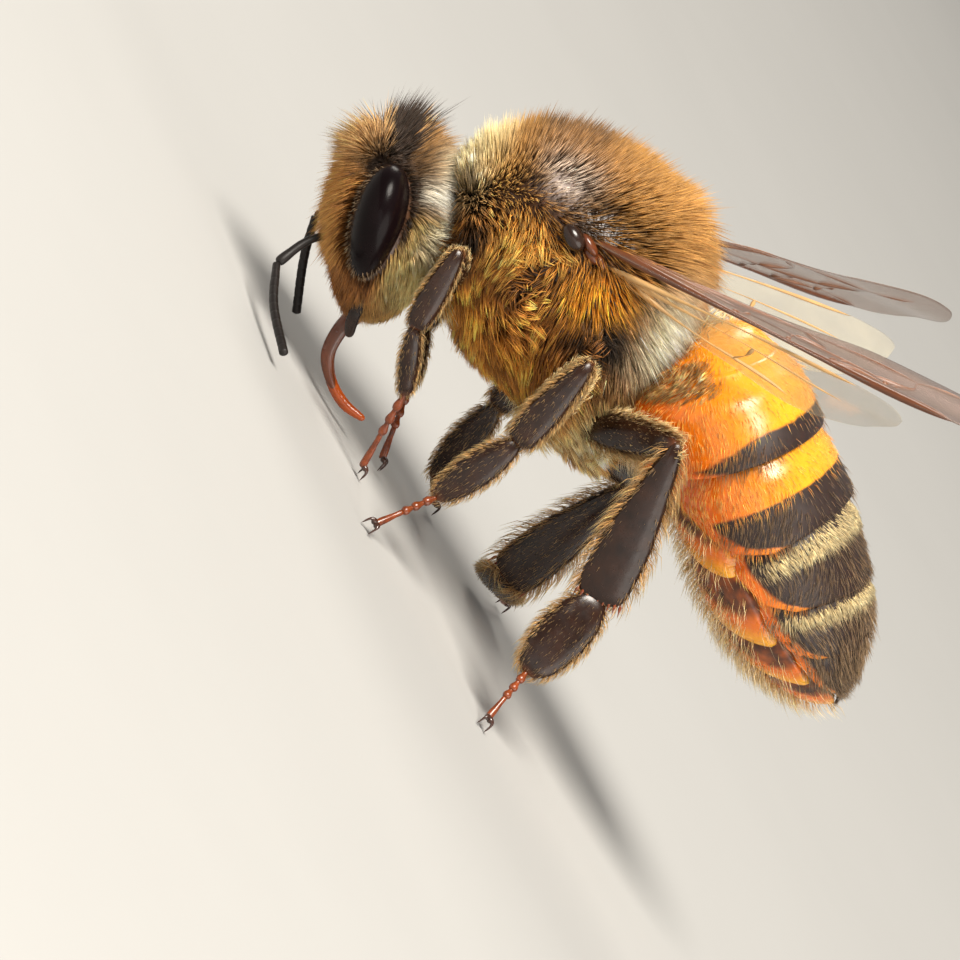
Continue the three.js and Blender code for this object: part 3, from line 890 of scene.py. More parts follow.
thoraxPlace = {"centre": (-2.5, 0.0, 5.2), "pitch": -28.0}
thoraxForm = {
    # x from the neck to the waist, z at the back, z below, half width
    "stations": [
        [-2.45, 0.6, 0.5, 0.0], [-2.36, 1.0, 0.1, 0.55], [-2.0, 1.45, -0.7, 1.15],
        [-1.4, 1.85, -1.42, 1.55], [-0.7, 2.05, -1.92, 1.75], [0.1, 2.08, -2.08, 1.82],
        [0.9, 1.9, -2.28, 1.75], [1.5, 1.5, -2.5, 1.5], [1.9, 0.8, -2.6, 1.15],
        [2.15, -0.2, -2.5, 0.75], [2.25, -1.25, -1.35, 0.0],
    ],
    "scutellum": ((1.15, 0.0, 1.8), (0.35, 0.95, 0.6), 0.16),
    "tegula": ((-3.28, 2.03, 5.82), (0.28, 0.2, 0.19)),
    "hinges": [
        ((-3.0, 1.95, 6.0), (0.24, 0.14, 0.1)), ((-2.82, 1.88, 5.92), (0.2, 0.12, 0.11)),
        ((-2.62, 1.83, 6.0), (0.18, 0.12, 0.09)),
    ],
    "neck": [(-4.75, 0, 3.7), (-4.6, 0, 4.3)],
    "neckWidths": [[-0.1, 0, 0], [0, 0.5, 0.5], [0.5, 0.55, 0.5], [1, 0.6, 0.55], [1.1, 0, 0]],
    "waist": [(-0.9, 0, 5.3), (-0.1, 0, 5.9)],
    "waistWidths": [[-0.2, 0, 0], [0, 0.5, 0.5], [0.5, 0.35, 0.35], [1, 0.6, 0.55], [1.2, 0, 0]],
    # On the bare patch the shell and its stubble are painted pale as a highlight.
    "barePatch": ((-1.15, 1.55, 1.6), (0.45, 0.5, 0.27)),  # where the back's shell shows
}


def thoraxGrid():
    grid = bodyGrid(thoraxForm["stations"], 80, 110, 2.15)
    centre, radii, out = thoraxForm["scutellum"]
    grid[..., 2] += out * spot(grid, centre, radii) * (grid[..., 2] > 0)
    return grid


thoraxSurface = surfaceOf(thoraxGrid())
# The bare patch's share: where the thorax shell takes the pale tone of the painted highlight.
bareSheenShare = {"bare": np.minimum(1, 1.5 * spot(thoraxSurface["points"], *thoraxForm["barePatch"]))}
grid = placed(thoraxSurface["points"], thoraxPlace)
makeSkin("thoraxShell", grid, shells["thoraxShell"], ["thorax"], bareSheenShare)
facing = np.array([0.0, 1.0, 0.0])
joins = [
    carriedGrid(thoraxForm[key], splineThrough(thoraxForm[key + "Widths"], 16), facing, 32)
    for key in ("neck", "waist")
]
makeCluster("neckAndWaist", joins, shells["bodyShell"])
for side, word in bothSides:
    mirrored = np.array([1, side, 1])
    centre, half = thoraxForm["tegula"]
    grid = ellipsoid(centre * mirrored, half, 24, 36)
    makeSkin("tegula" + word, grid, shells["tegulaShell"], ["tegula_" + word.lower()])
    hinges = [ellipsoid(middle * mirrored, size) for middle, size in thoraxForm["hinges"]]
    makeCluster("wingHinges" + word, hinges, shells["hingeShell"])
print("thorax made")

abdomenForm = {
    "top": [
        (-0.75, 6.6), (-0.45, 7.3), (-0.1, 7.78), (0.6, 8.02), (1.4, 8.02), (2.4, 7.85), (3.6, 7.7),
        (4.9, 7.34), (5.6, 7.04), (6.25, 6.56), (6.75, 5.95), (7.0, 5.35),
    ],
    "bottom": [
        (-0.75, 5.3), (-0.3, 4.75), (0.45, 4.42), (1.6, 4.46), (2.6, 4.38), (3.6, 4.14), (4.5, 4.07),
        (5.3, 4.12), (6.0, 4.34), (6.7, 4.78), (7.0, 5.15),
    ],
    "wide": [
        (-0.75, 0.6), (-0.3, 1.4), (0.4, 2.0), (1.4, 2.22), (2.6, 2.25), (3.8, 2.15), (5.0, 1.84),
        (6.0, 1.34), (6.7, 0.72), (7.0, 0.15),
    ],
    "overlap": 0.3,  # mm that each plate reaches under the one in front
    "tuck": 0.16,  # how much deeper it lies there
    "plateThickness": 0.05,
    "corner": 14.0,  # degrees that an upper plate's rear corner is rounded by
    "swell": 0.03,  # how far a plate rises before its rear edge
}

# For each segment: where it starts and ends, how far its front and rear rings lean forwards at their
# lower ends, how deep its plates lie below the coat's tips, the angle below level that its upper plate
# reaches at the front and rear, where its dark band starts at the top and at the sides, how dark it is
segmentKeys = ("from", "to", "lean", "depth", "edge", "band", "bandLow", "dark")
segmentRows = [
    (-0.5, 1.0, (0.0, 1.3), 0.26, (-52, -50), 1.2, 0.47, 0.85),
    (0.9, 2.27, (1.3, 0.8), 0.07, (-60, -48), 0.72, 0.93, 0.9),
    (2.27, 3.68, (0.8, 0.2), 0.08, (-62, -10), 0.57, 0.56, 1.0),
    (3.68, 5.2, (0.2, 1.0), 0.15, (-30, -11), 0.02, 0.1, 1.0),
    (5.2, 6.22, (1.0, 0.9), 0.16, (-26, -12), 0.0, 0.05, 1.0),
    (6.22, 6.92, (0.9, 0.62), 0.17, (-20, -10), 0.0, 0.0, 0.9),
]
segments = [dict(zip(segmentKeys, row)) for row in segmentRows]


# The angle where an upper plate ends goes from its front value to its rear value by t^1.7, and a rounded
# corner is added at the rear
def lowerEdge(segment, t):
    return mix(*segment["edge"], t**1.7) + abdomenForm["corner"] * ramp(0.8, 1.05, t)


def outlineOf(key):
    line = splineThrough(abdomenForm[key], 300)
    return line[:, 0], line[:, 1]


# Top, bottom and half width of the abdomen's outline at x
def sectionAt(x):
    return [np.interp(x, *outlineOf(key)) for key in ("top", "bottom", "wide")]


# A band of the abdomen's ring between two angles: y = (wide - d) · cos a, z = middle + (half - d) · sin a,
# where the depth d is largest under the plate in front and least near the rear edge. A lower plate turns
# over, its middle lies ahead of its sides by the skew, and above the angle sink[0] it lies sink[1] deeper.
def plateGrid(segment, reach, turnOver, depth, rows, columns, skew=0, sink=(90, 0)):
    t = np.concatenate([np.linspace(0, 0.97, rows - 2), [0.99, 1.0]])[:, None]
    s = np.linspace(0, 1, columns)[None, :]
    front = segment["from"] - abdomenForm["overlap"] * (segment["from"] > 0)
    low = np.radians(lowerEdge(segment, t) + reach)
    angle = mix(np.pi - low, 2 * np.pi + low, s) if turnOver else mix(low, np.pi - low, s)
    fold = (angle - np.pi / 2) / np.radians(140)
    lean = 0 if turnOver else mix(*segment["lean"], t) * fold**2
    x = front + (segment["to"] - front) * t - lean
    x = x - skew * np.maximum(0.88 - np.abs(np.cos(angle)), 0)
    inset = depth + abdomenForm["tuck"] * (1 - ramp(0.05, 0.4, t))
    inset = inset + abdomenForm["swell"] * (ramp(0.97, 1, t) - ramp(0.5, 0.97, t))
    sinkStart, sinkEnd = np.sin(np.radians([sink[0] - 2, sink[0] + 6]))
    inset = inset + sink[1] * ramp(sinkStart, sinkEnd, np.sin(angle))
    top, bottom, wide = sectionAt(x)
    y = np.maximum(wide - inset, 0.03) * np.cos(angle)
    z = (top + bottom) / 2 + np.maximum((top - bottom) / 2 - inset, 0.03) * np.sin(angle)
    return {**surfaceOf(np.stack([x, y, z], axis=-1)), "t": t + 0 * s, "angle": angle}


# 0 on amber and 1 on dark brown: dark behind the band's start, fading at the plate's lower edges
def bandOf(segment, t, angle):
    below = np.degrees(np.arcsin(np.clip(-np.sin(angle), -1, 1)))
    edge = -lowerEdge(segment, t)
    rim = ramp(3, 16, edge - below) * mix(1, ramp(1.0, 0.93, t), ramp(0.0, -0.4, np.sin(angle)))
    start = mix(segment["bandLow"], segment["band"], ramp(-0.55, 0.5, np.sin(angle)))
    return ramp(start - 0.05, start + 0.05, t + 1e-3) * segment["dark"] * rim


# Plates: amber to dark brown by the band, broken up by noise, duller where dark, with down in the bump.
# The amber is painted light: redder as painted shade, yellower where the attribute sun is high.
def makePlateShell():
    material, tree, shader = newMaterial("plateShell")
    noise = addNode(tree, "TexNoise", Vector=objectPlace(tree), Scale=3500.0, Detail=4.0).outputs["Fac"]
    ragged = reckon(tree, "MULTIPLY_ADD", noise, 0.5, -0.25)
    mask = rampNode(tree, 0.25, 0.8, reckon(tree, "ADD", readAttribute(tree, "band"), ragged))
    warm = blendTones(tree, readAttribute(tree, "sun"), plateTones["shade"], plateTones["sun"])
    amber = useGroup(tree, toneDrift, Colour=warm, Amount=0.25, Scale=1500.0)
    brown = useGroup(tree, toneDrift, Colour=plateTones["dark"], Amount=0.4, Scale=4000.0)
    tone = blendTones(tree, mask, amber.outputs["Colour"], brown.outputs["Colour"])
    grain = useGroup(tree, shellGrain, Pits=0.5, Scale=24000.0, Unevenness=0.6)
    down = useGroup(tree, shortDown, Along=6000.0, Across=36000.0)
    height = reckon(tree, "MULTIPLY_ADD", down.outputs["Height"], 0.6, grain.outputs["Height"])
    rough = reckon(tree, "ADD", grain.outputs["Roughness"], mixNode(tree, 0.26, 0.48, mask))
    varnish = mixNode(tree, 0.3, 0.03, mask)
    setShader(shader, tree, Base_Color=tone, Roughness=rough, Normal=addBump(tree, height, 0.3))
    setShader(shader, tree, Coat_Weight=varnish, Coat_Roughness=0.25)
    addGlow(shader, tree, 0.25, (1.0, 0.4, 0.1))
    return material


# Painted light: the shade tone stands for amber in shade, the sun tone for amber in the light.
plateTones = {
    "shade": (0.8, 0.12, 0.001, 1),
    "sun": (0.86, 0.34, 0.012, 1),
    "dark": (0.022, 0.01, 0.007, 1),
}
plateShell = makePlateShell()


def makeUpperPlate(number, segment):
    surface = plateGrid(segment, 0, False, segment["depth"], 26, 110)
    values = {
        "band": bandOf(segment, surface["t"], surface["angle"]),
        # sun is painted light: the lit tone on top of the plate, the painted shade tone on its lower sides.
        "sun": ramp(-0.7, 0.9, np.sin(surface["angle"])),
    }
    thickness = abdomenForm["plateThickness"]
    makePlate(f"tergite{number}", surface, thickness, plateShell, [f"abdomen_{number}"], values)
    return surface


upperPlates = [makeUpperPlate(number, segment) for number, segment in enumerate(segments, 1)]

lowerForm = {
    "depth": 0.01,
    "sideDepth": 0.3,  # how much deeper its sides lie, under the next upper plate
    "reach": 12.0,  # degrees that it reaches under the upper plate
    "skew": 1.6,  # mm that its middle lies ahead of its sides
    "streak": (0.15, 0.68),  # where it is dark, in shares of its length
    "dark": 0.66,
}


# A lower plate's skew fades towards the rear on the first one and towards the front on the last one
def makeLowerPlate(number, segment):
    nextEdge = segments[number]["edge"][0] if number < 6 else 0
    share = {2: 0.0, 6: 1.0}.get(number, 0.5)
    fade = np.minimum(1, 2 * mix(1 - share, share, 1 - np.linspace(0, 1, 22)))[:, None]
    surface = plateGrid(
        segment, lowerForm["reach"], True, segment["depth"] + lowerForm["depth"], 22, 80,
        lowerForm["skew"] * fade, (nextEdge, lowerForm["sideDepth"]),
    )
    low, high = lowerForm["streak"]
    t = surface["t"]
    streak = lowerForm["dark"] * ramp(low - 0.12, low + 0.12, t) * ramp(high + 0.16, high - 0.1, t)
    # sun here paints the shade tone on the front, which lies under the plate ahead, and the lit tone on the
    # rear rim.
    values = {"band": streak, "sun": mix(0.2, 1.0, ramp(0.75, 0.95, t))}
    thickness = abdomenForm["plateThickness"]
    makePlate(f"sternite{number}", surface, thickness, plateShell, (), values)
    return surface


lowerPlates = [makeLowerPlate(number, segment) for number, segment in enumerate(segments[1:], 2)]

core = [[-0.45, 5.9, 5.9, 0]]  # fills the ring of plates
for x in np.linspace(-0.4, 6.7, 16):
    top, bottom, wide = sectionAt(x)
    core.append([x, top - 0.45, bottom + 0.45, max(wide - 0.45, 0.05)])
core.append([6.75, 5.4, 5.4, 0])
makeSkin("abdomenCore", bodyGrid(core, 40, 48), shells["bodyShell"])
print("abdomen made")

legForm = {
    # hip, knee, ankle, heel, toe
    "frontLeft": [
        (-3.4, -0.85, 3.05), (-4.1, -1.85, 3.88), (-3.3, -1.85, 2.45), (-2.3, -1.6, 1.62),
        (-1.5, -1.25, 0.22),
    ],
    "frontRight": [
        (-2.6, 0.9, 3.4), (-3.6, 1.9, 3.35), (-2.8, 1.75, 2.15), (-1.95, 1.5, 1.3), (-1.1, 1.3, 0.22),
    ],
    "middleLeft": [
        (-0.5, -0.9, 3.3), (-1.2, -2.6, 4.95), (-0.63, -2.7, 3.08), (-0.52, -2.8, 1.33),
        (-0.76, -3.55, 0.22),
    ],
    "middleRight": [
        (-1.0, 0.95, 3.4), (-1.1, 2.5, 4.3), (-0.7, 2.5, 2.4), (-0.05, 3.0, 0.62), (0.5, 4.0, 0.22),
    ],
    "hindLeft": [
        (-0.05, -0.85, 4.05), (0.87, -2.9, 5.58), (2.58, -2.9, 2.88), (3.0, -3.4, 1.17),
        (3.27, -4.05, 0.22),
    ],
    "hindRight": [
        (0.2, 0.85, 3.87), (1.9, 2.7, 3.88), (2.25, 2.75, 0.85), (2.5, 4.1, 0.36), (3.0, 5.15, 0.22),
    ],
}

# Half width and half thickness at the start, a third of the way, three quarters of the way and the end
limbSizes = {
    "front": {
        "Femur": [(0.17, 0.16), (0.27, 0.25), (0.23, 0.22), (0.17, 0.16)],
        "Tibia": [(0.16, 0.15), (0.22, 0.19), (0.25, 0.2), (0.21, 0.17)],
        "Basitarsus": [(0.14, 0.12), (0.18, 0.14), (0.17, 0.13), (0.14, 0.11)],
    },
    "middle": {
        "Femur": [(0.18, 0.17), (0.29, 0.26), (0.25, 0.23), (0.18, 0.17)],
        "Tibia": [(0.17, 0.16), (0.25, 0.2), (0.31, 0.21), (0.28, 0.18)],
        "Basitarsus": [(0.2, 0.13), (0.3, 0.16), (0.29, 0.15), (0.2, 0.11)],
    },
    "hind": {
        "Femur": [(0.19, 0.18), (0.31, 0.27), (0.28, 0.24), (0.2, 0.18)],
        "Tibia": [(0.2, 0.17), (0.34, 0.18), (0.5, 0.17), (0.5, 0.13)],
        "Basitarsus": [(0.36, 0.13), (0.47, 0.16), (0.44, 0.15), (0.3, 0.11)],
    },
}
coxaSizes = [(0.42, 0.42), (0.4, 0.4), (0.32, 0.32), (0.22, 0.22)]
footForm = {
    "joints": [0.0, 0.2, 0.38, 0.54, 1.0],  # shares of the foot's length where its rings part
    "half": 0.085,
    "clawLength": 0.23,
    "clawHalf": 0.03,
}


# Four widths become a table with round ends
def limbTable(sizes, rows=40):
    (w0, h0), (w1, h1), (w2, h2), (w3, h3) = sizes
    stations = [
        [-0.03, 0, 0], [-0.015, 0.5 * w0, 0.5 * h0], [0.04, 0.8 * w0, 0.85 * h0], [0.33, w1, h1],
        [0.75, w2, h2], [0.95, 0.92 * w3, h3], [1.0, 0.6 * w3, 0.65 * h3], [1.02, 0, 0],
    ]
    return splineThrough(stations, rows)


# A foot ring is a small goblet: its half width grows from 0.6 to 1 of the foot's, and closes at both ends
def footGrids(heel, toe, facing):
    grids = []
    half = footForm["half"]
    for start, end in zip(footForm["joints"], footForm["joints"][1:]):
        widest = 0.85 if end - start > 0.3 else 1.0
        ends = [(0, 0.0), (0.03, 0.45), (0.3, 0.6), (0.8, widest), (0.97, 0.8), (1.0, 0.0)]
        table = [[mix(start, end + 0.02, t), half * w, half * w * 0.85] for t, w in ends]
        grids.append(carriedGrid(np.array([heel, toe]), splineThrough(table, 18), facing, 14))
    return grids


# Two hooks: from the foot's end forwards and apart, then down to a point
def clawGrids(heel, toe):
    ahead = unit((toe - heel) * np.array([1, 1, 0.2]))
    apart = unit(np.cross(ahead, np.array([0.0, 0.0, 1.0])))
    facing = np.array([0.0, 0.0, 1.0]) + 0.1 * ahead
    half, reach = footForm["clawHalf"], footForm["clawLength"]
    shape = np.array([[0, 0, 0], [0.03, 1, 1], [0.5, 0.8, 0.8], [0.9, 0.3, 0.3], [1, 0, 0]])
    grids = []
    for side in (-1, 1):
        bend = 0.45 * reach * ahead + side * 0.4 * reach * apart
        point = 0.8 * reach * ahead + side * 0.55 * reach * apart
        path = toe + np.array([0 * ahead, bend, point])
        path[1, 2] += 0.04
        path[2, 2] = 0.02
        grids.append(carriedGrid(path, splineThrough(shape * [1, half, half], 14), facing, 10))
    return grids


# Spines of the hind tibia's end: cones side by side across its lower edge, leaning apart
rake = {"count": 9, "length": 0.24, "half": 0.019, "apart": 0.43, "start": 0.97}


def rakeGrids(knee, ankle, facing):
    along = unit(ankle - knee)
    side = unit(np.cross(facing, along))
    out = unit(facing - along * np.dot(facing, along))
    shape = np.array([[-0.1, 0, 0], [0, 1, 1], [0.6, 0.7, 0.7], [1, 0, 0]])
    shape = shape * [1, rake["half"], rake["half"]]
    grids = []
    for share in np.linspace(-1, 1, rake["count"]):
        root = mix(knee, ankle, rake["start"]) + side * rake["apart"] * share + out * 0.06
        tip = root + unit(along + side * 0.18 * share + out * 0.12) * rake["length"]
        grids.append(carriedGrid(np.array([root, tip]), splineThrough(shape, 10), facing, 8))
    return grids


limbSurfaces = {}


def makeLeg(pair, side, word):
    leg, node = pair + word, f"leg_{pair}_{word.lower()}_"
    hip, knee, ankle, heel, toe = joints = np.array(legForm[leg])
    facing = np.array([0.0, float(side), 0.25])
    for k, part in enumerate(("Femur", "Tibia", "Basitarsus")):
        grid = carriedGrid(joints[k : k + 2], limbTable(limbSizes[pair][part]), facing, 40, 2.5)
        surface = limbSurfaces[leg + part] = surfaceOf(grid)
        bare = {"bare": ramp(0.8, 0.97, surface["u"]) + 0.5 * ramp(0.12, 0.02, surface["u"])}
        makeSkin(leg + part, grid, shells["darkShell"], [node + part.lower()], bare)
    foot = footGrids(heel, toe, facing)
    makeCluster(leg + "Foot", foot, shells["redShell"], [node + "tarsus"])
    makeCluster(leg + "Claws", clawGrids(heel, toe), shells["clawShell"])
    if pair == "hind":
        makeCluster(leg + "Rake", rakeGrids(knee, ankle, facing), shells["redShell"])
    inner = hip * np.array([1, 0.3, 1]) + np.array([0.0, 0.0, 0.45])
    coxa = carriedGrid(np.array([inner, hip]), limbTable(coxaSizes, 24), facing, 28)
    limbSurfaces[leg + "Coxa"] = surfaceOf(coxa)
    makeSkin(leg + "Coxa", coxa, shells["darkShell"])


for pair in limbSizes:
    for side, word in bothSides:
        makeLeg(pair, side, word)
print("legs made")

wingForm = {
    "fore": {
        "root": (-3.05, 1.75, 6.03), "length": 9.2, "width": 3.05, "left": (0.655, -0.55, 0.518),
        "right": (0.577, 0.761, 0.297), "leftHindEdge": (0.396, 0.861, 0.315),
        "rightHindEdge": (0.386, -0.574, 0.722),
        "lead": [
            (0, -0.02), (0.33, -0.03), (0.65, -0.02), (0.86, 0.05), (0.94, 0.12), (0.985, 0.22),
            (1, 0.38),
        ],
        "trail": [
            (0, 0.08), (0.16, 0.28), (0.34, 0.5), (0.45, 0.64), (0.58, 0.87), (0.73, 0.97),
            (0.86, 0.89), (0.94, 0.74), (0.985, 0.56), (1, 0.38),
        ],
    },
    "hind": {
        "root": (-2.5, 1.72, 6.02), "length": 6.35, "width": 1.72, "left": (0.715, -0.41, 0.566),
        "right": (0.715, 0.45, 0.53), "leftHindEdge": (0.53, 0.74, -0.39),
        "rightHindEdge": (0.53, -0.74, -0.39),
        "lead": [
            (0, -0.03), (0.3, -0.04), (0.65, -0.02), (0.87, 0.04), (0.96, 0.12), (0.99, 0.19),
            (1, 0.27),
        ],
        "trail": [
            (0, 0.12), (0.18, 0.43), (0.4, 0.8), (0.62, 0.97), (0.81, 0.84), (0.92, 0.62), (0.98, 0.4),
            (1, 0.27),
        ],
    },
    "skin": 0.02,  # mm thick
    "ripple": 0.05,
}

# Veins as half width mm and the points (u, v) that they pass through
veins = {
    "fore": [
        (0.044, [(0.0, 0.03), (0.3, 0.0), (0.6, 0.01), (0.75, 0.02), (0.9, 0.09)]),
        (0.02, [(0.02, 0.08), (0.2, 0.14), (0.36, 0.19), (0.58, 0.24), (0.72, 0.3)]),
        (0.017, [(0.6, 0.01), (0.67, 0.14), (0.8, 0.15), (0.9, 0.09)]),
        (0.017, [(0.36, 0.02), (0.37, 0.19)]), (0.016, [(0.5, 0.02), (0.47, 0.22)]),
        (0.016, [(0.6, 0.05), (0.6, 0.25)]), (0.016, [(0.71, 0.15), (0.72, 0.3)]),
        (0.017, [(0.02, 0.1), (0.16, 0.25), (0.34, 0.45), (0.43, 0.52)]),
        (0.016, [(0.2, 0.14), (0.3, 0.34), (0.43, 0.52), (0.56, 0.6), (0.7, 0.62)]),
        (0.015, [(0.47, 0.22), (0.52, 0.38), (0.43, 0.52)]),
        (0.015, [(0.66, 0.27), (0.72, 0.45), (0.7, 0.62), (0.78, 0.8)]),
    ],
    "hind": [
        (0.016, [(0.0, 0.0), (0.3, -0.01), (0.6, 0.0), (0.85, 0.04)]),
        (0.008, [(0.02, 0.04), (0.25, 0.16), (0.5, 0.25), (0.8, 0.42)]),
        (0.014, [(0.02, 0.08), (0.2, 0.34), (0.42, 0.6), (0.6, 0.85)]),
        (0.008, [(0.5, 0.25), (0.47, 0.42), (0.42, 0.6)]),
    ],
}


# Wing skin: clear, faintly brown, with a pearly gloss and fine ripples
def makeWingSkin(name, look):
    material, tree, shader = newMaterial(name)
    tone = useGroup(tree, toneDrift, Colour=colour(look["tone"]), Amount=0.25, Scale=900.0)
    ripple = addNode(tree, "TexNoise", Vector=objectPlace(tree), Scale=2600.0, Detail=3.0)
    bump = addBump(tree, ripple.outputs["Fac"], 0.3, 0.00003)
    alpha = look["alpha"]
    veil = mixNode(tree, alpha - 0.08, alpha + 0.08, tone.outputs["Value"])
    setShader(shader, tree, Base_Color=tone.outputs["Colour"], Roughness=look["rough"], Normal=bump)
    setShader(shader, tree, Alpha=veil, Specular_IOR_Level=0.5)
    setShader(shader, tree, Coat_Weight=look["varnish"], Coat_Roughness=0.15)
    setShader(shader, tree, Thin_Film_Thickness=350.0, Thin_Film_IOR=1.4)
    return material


skinLooks = {
    "fore": {"tone": (0.16, 0.1, 0.068), "alpha": 0.66, "rough": 0.26, "varnish": 0.5},
    "hind": {"tone": (0.42, 0.38, 0.27), "alpha": 0.24, "rough": 0.24, "varnish": 0.3},
}
skins = {kind: makeWingSkin(kind + "Skin", look) for kind, look in skinLooks.items()}


# root + u · length · along + v · width · chord + z · across, with z a few soft ripples
def wingPoint(kind, word, u, v):
    form = wingForm[kind]
    mirrored = np.array([1.0, -1.0 if word == "left" else 1.0, 1.0])
    along = unit(np.array(form[word]))
    hindward = np.array(form[word + "HindEdge"])
    chord = unit(hindward - along * np.dot(hindward, along))
    across = np.cross(along, chord)
    soft = np.minimum(1, 3 * np.maximum(v, 0)) * (0.4 + 0.6 * u)
    z = wingForm["ripple"] * np.sin(v * 9 + u * 2) * soft
    return (
        np.array(form["root"]) * mirrored
        + (u * form["length"])[..., None] * along
        + (v * form["width"])[..., None] * chord
        + z[..., None] * across
    )


def makeWing(kind, word, leadVein):
    form = wingForm[kind]
    u = np.sin(np.linspace(0, np.pi / 2, 70))[:, None]
    s = np.linspace(0, 1, 40)[None, :]
    lead, trail = [np.interp(u, *splineThrough(form[edge], 300).T) for edge in ("lead", "trail")]
    surface = surfaceOf(wingPoint(kind, word, u + 0 * s, mix(lead, trail, s)))
    title = kind + "wing" + word.title()
    plate = makePlate(title, surface, wingForm["skin"], skins[kind], [f"{kind}wing_{word}"])
    plate.visible_shadow = False
    shape = np.array([[0, 0, 0], [0.01, 1, 1], [0.5, 0.85, 0.85], [0.98, 0.6, 0.6], [1, 0, 0]])
    grids = []
    for half, points in veins[kind]:
        path = splineThrough(points, 24)
        line = wingPoint(kind, word, path[:, 0], path[:, 1])
        facing = np.cross(line[-1] - line[0], line[12] - line[0] + np.array([0.1, 0.2, 0.3]))
        grids.append(carriedGrid(line, splineThrough(shape * [1, half, half], 30), unit(facing), 10))
    makeCluster(title + "Edge", grids[:1], shells[leadVein])
    makeCluster(title + "Veins", grids[1:], shells[kind + "Vein"])


for word in ("left", "right"):
    makeWing("fore", word, "edgeVein")
    makeWing("hind", word, "hindVein")
print("wings made")

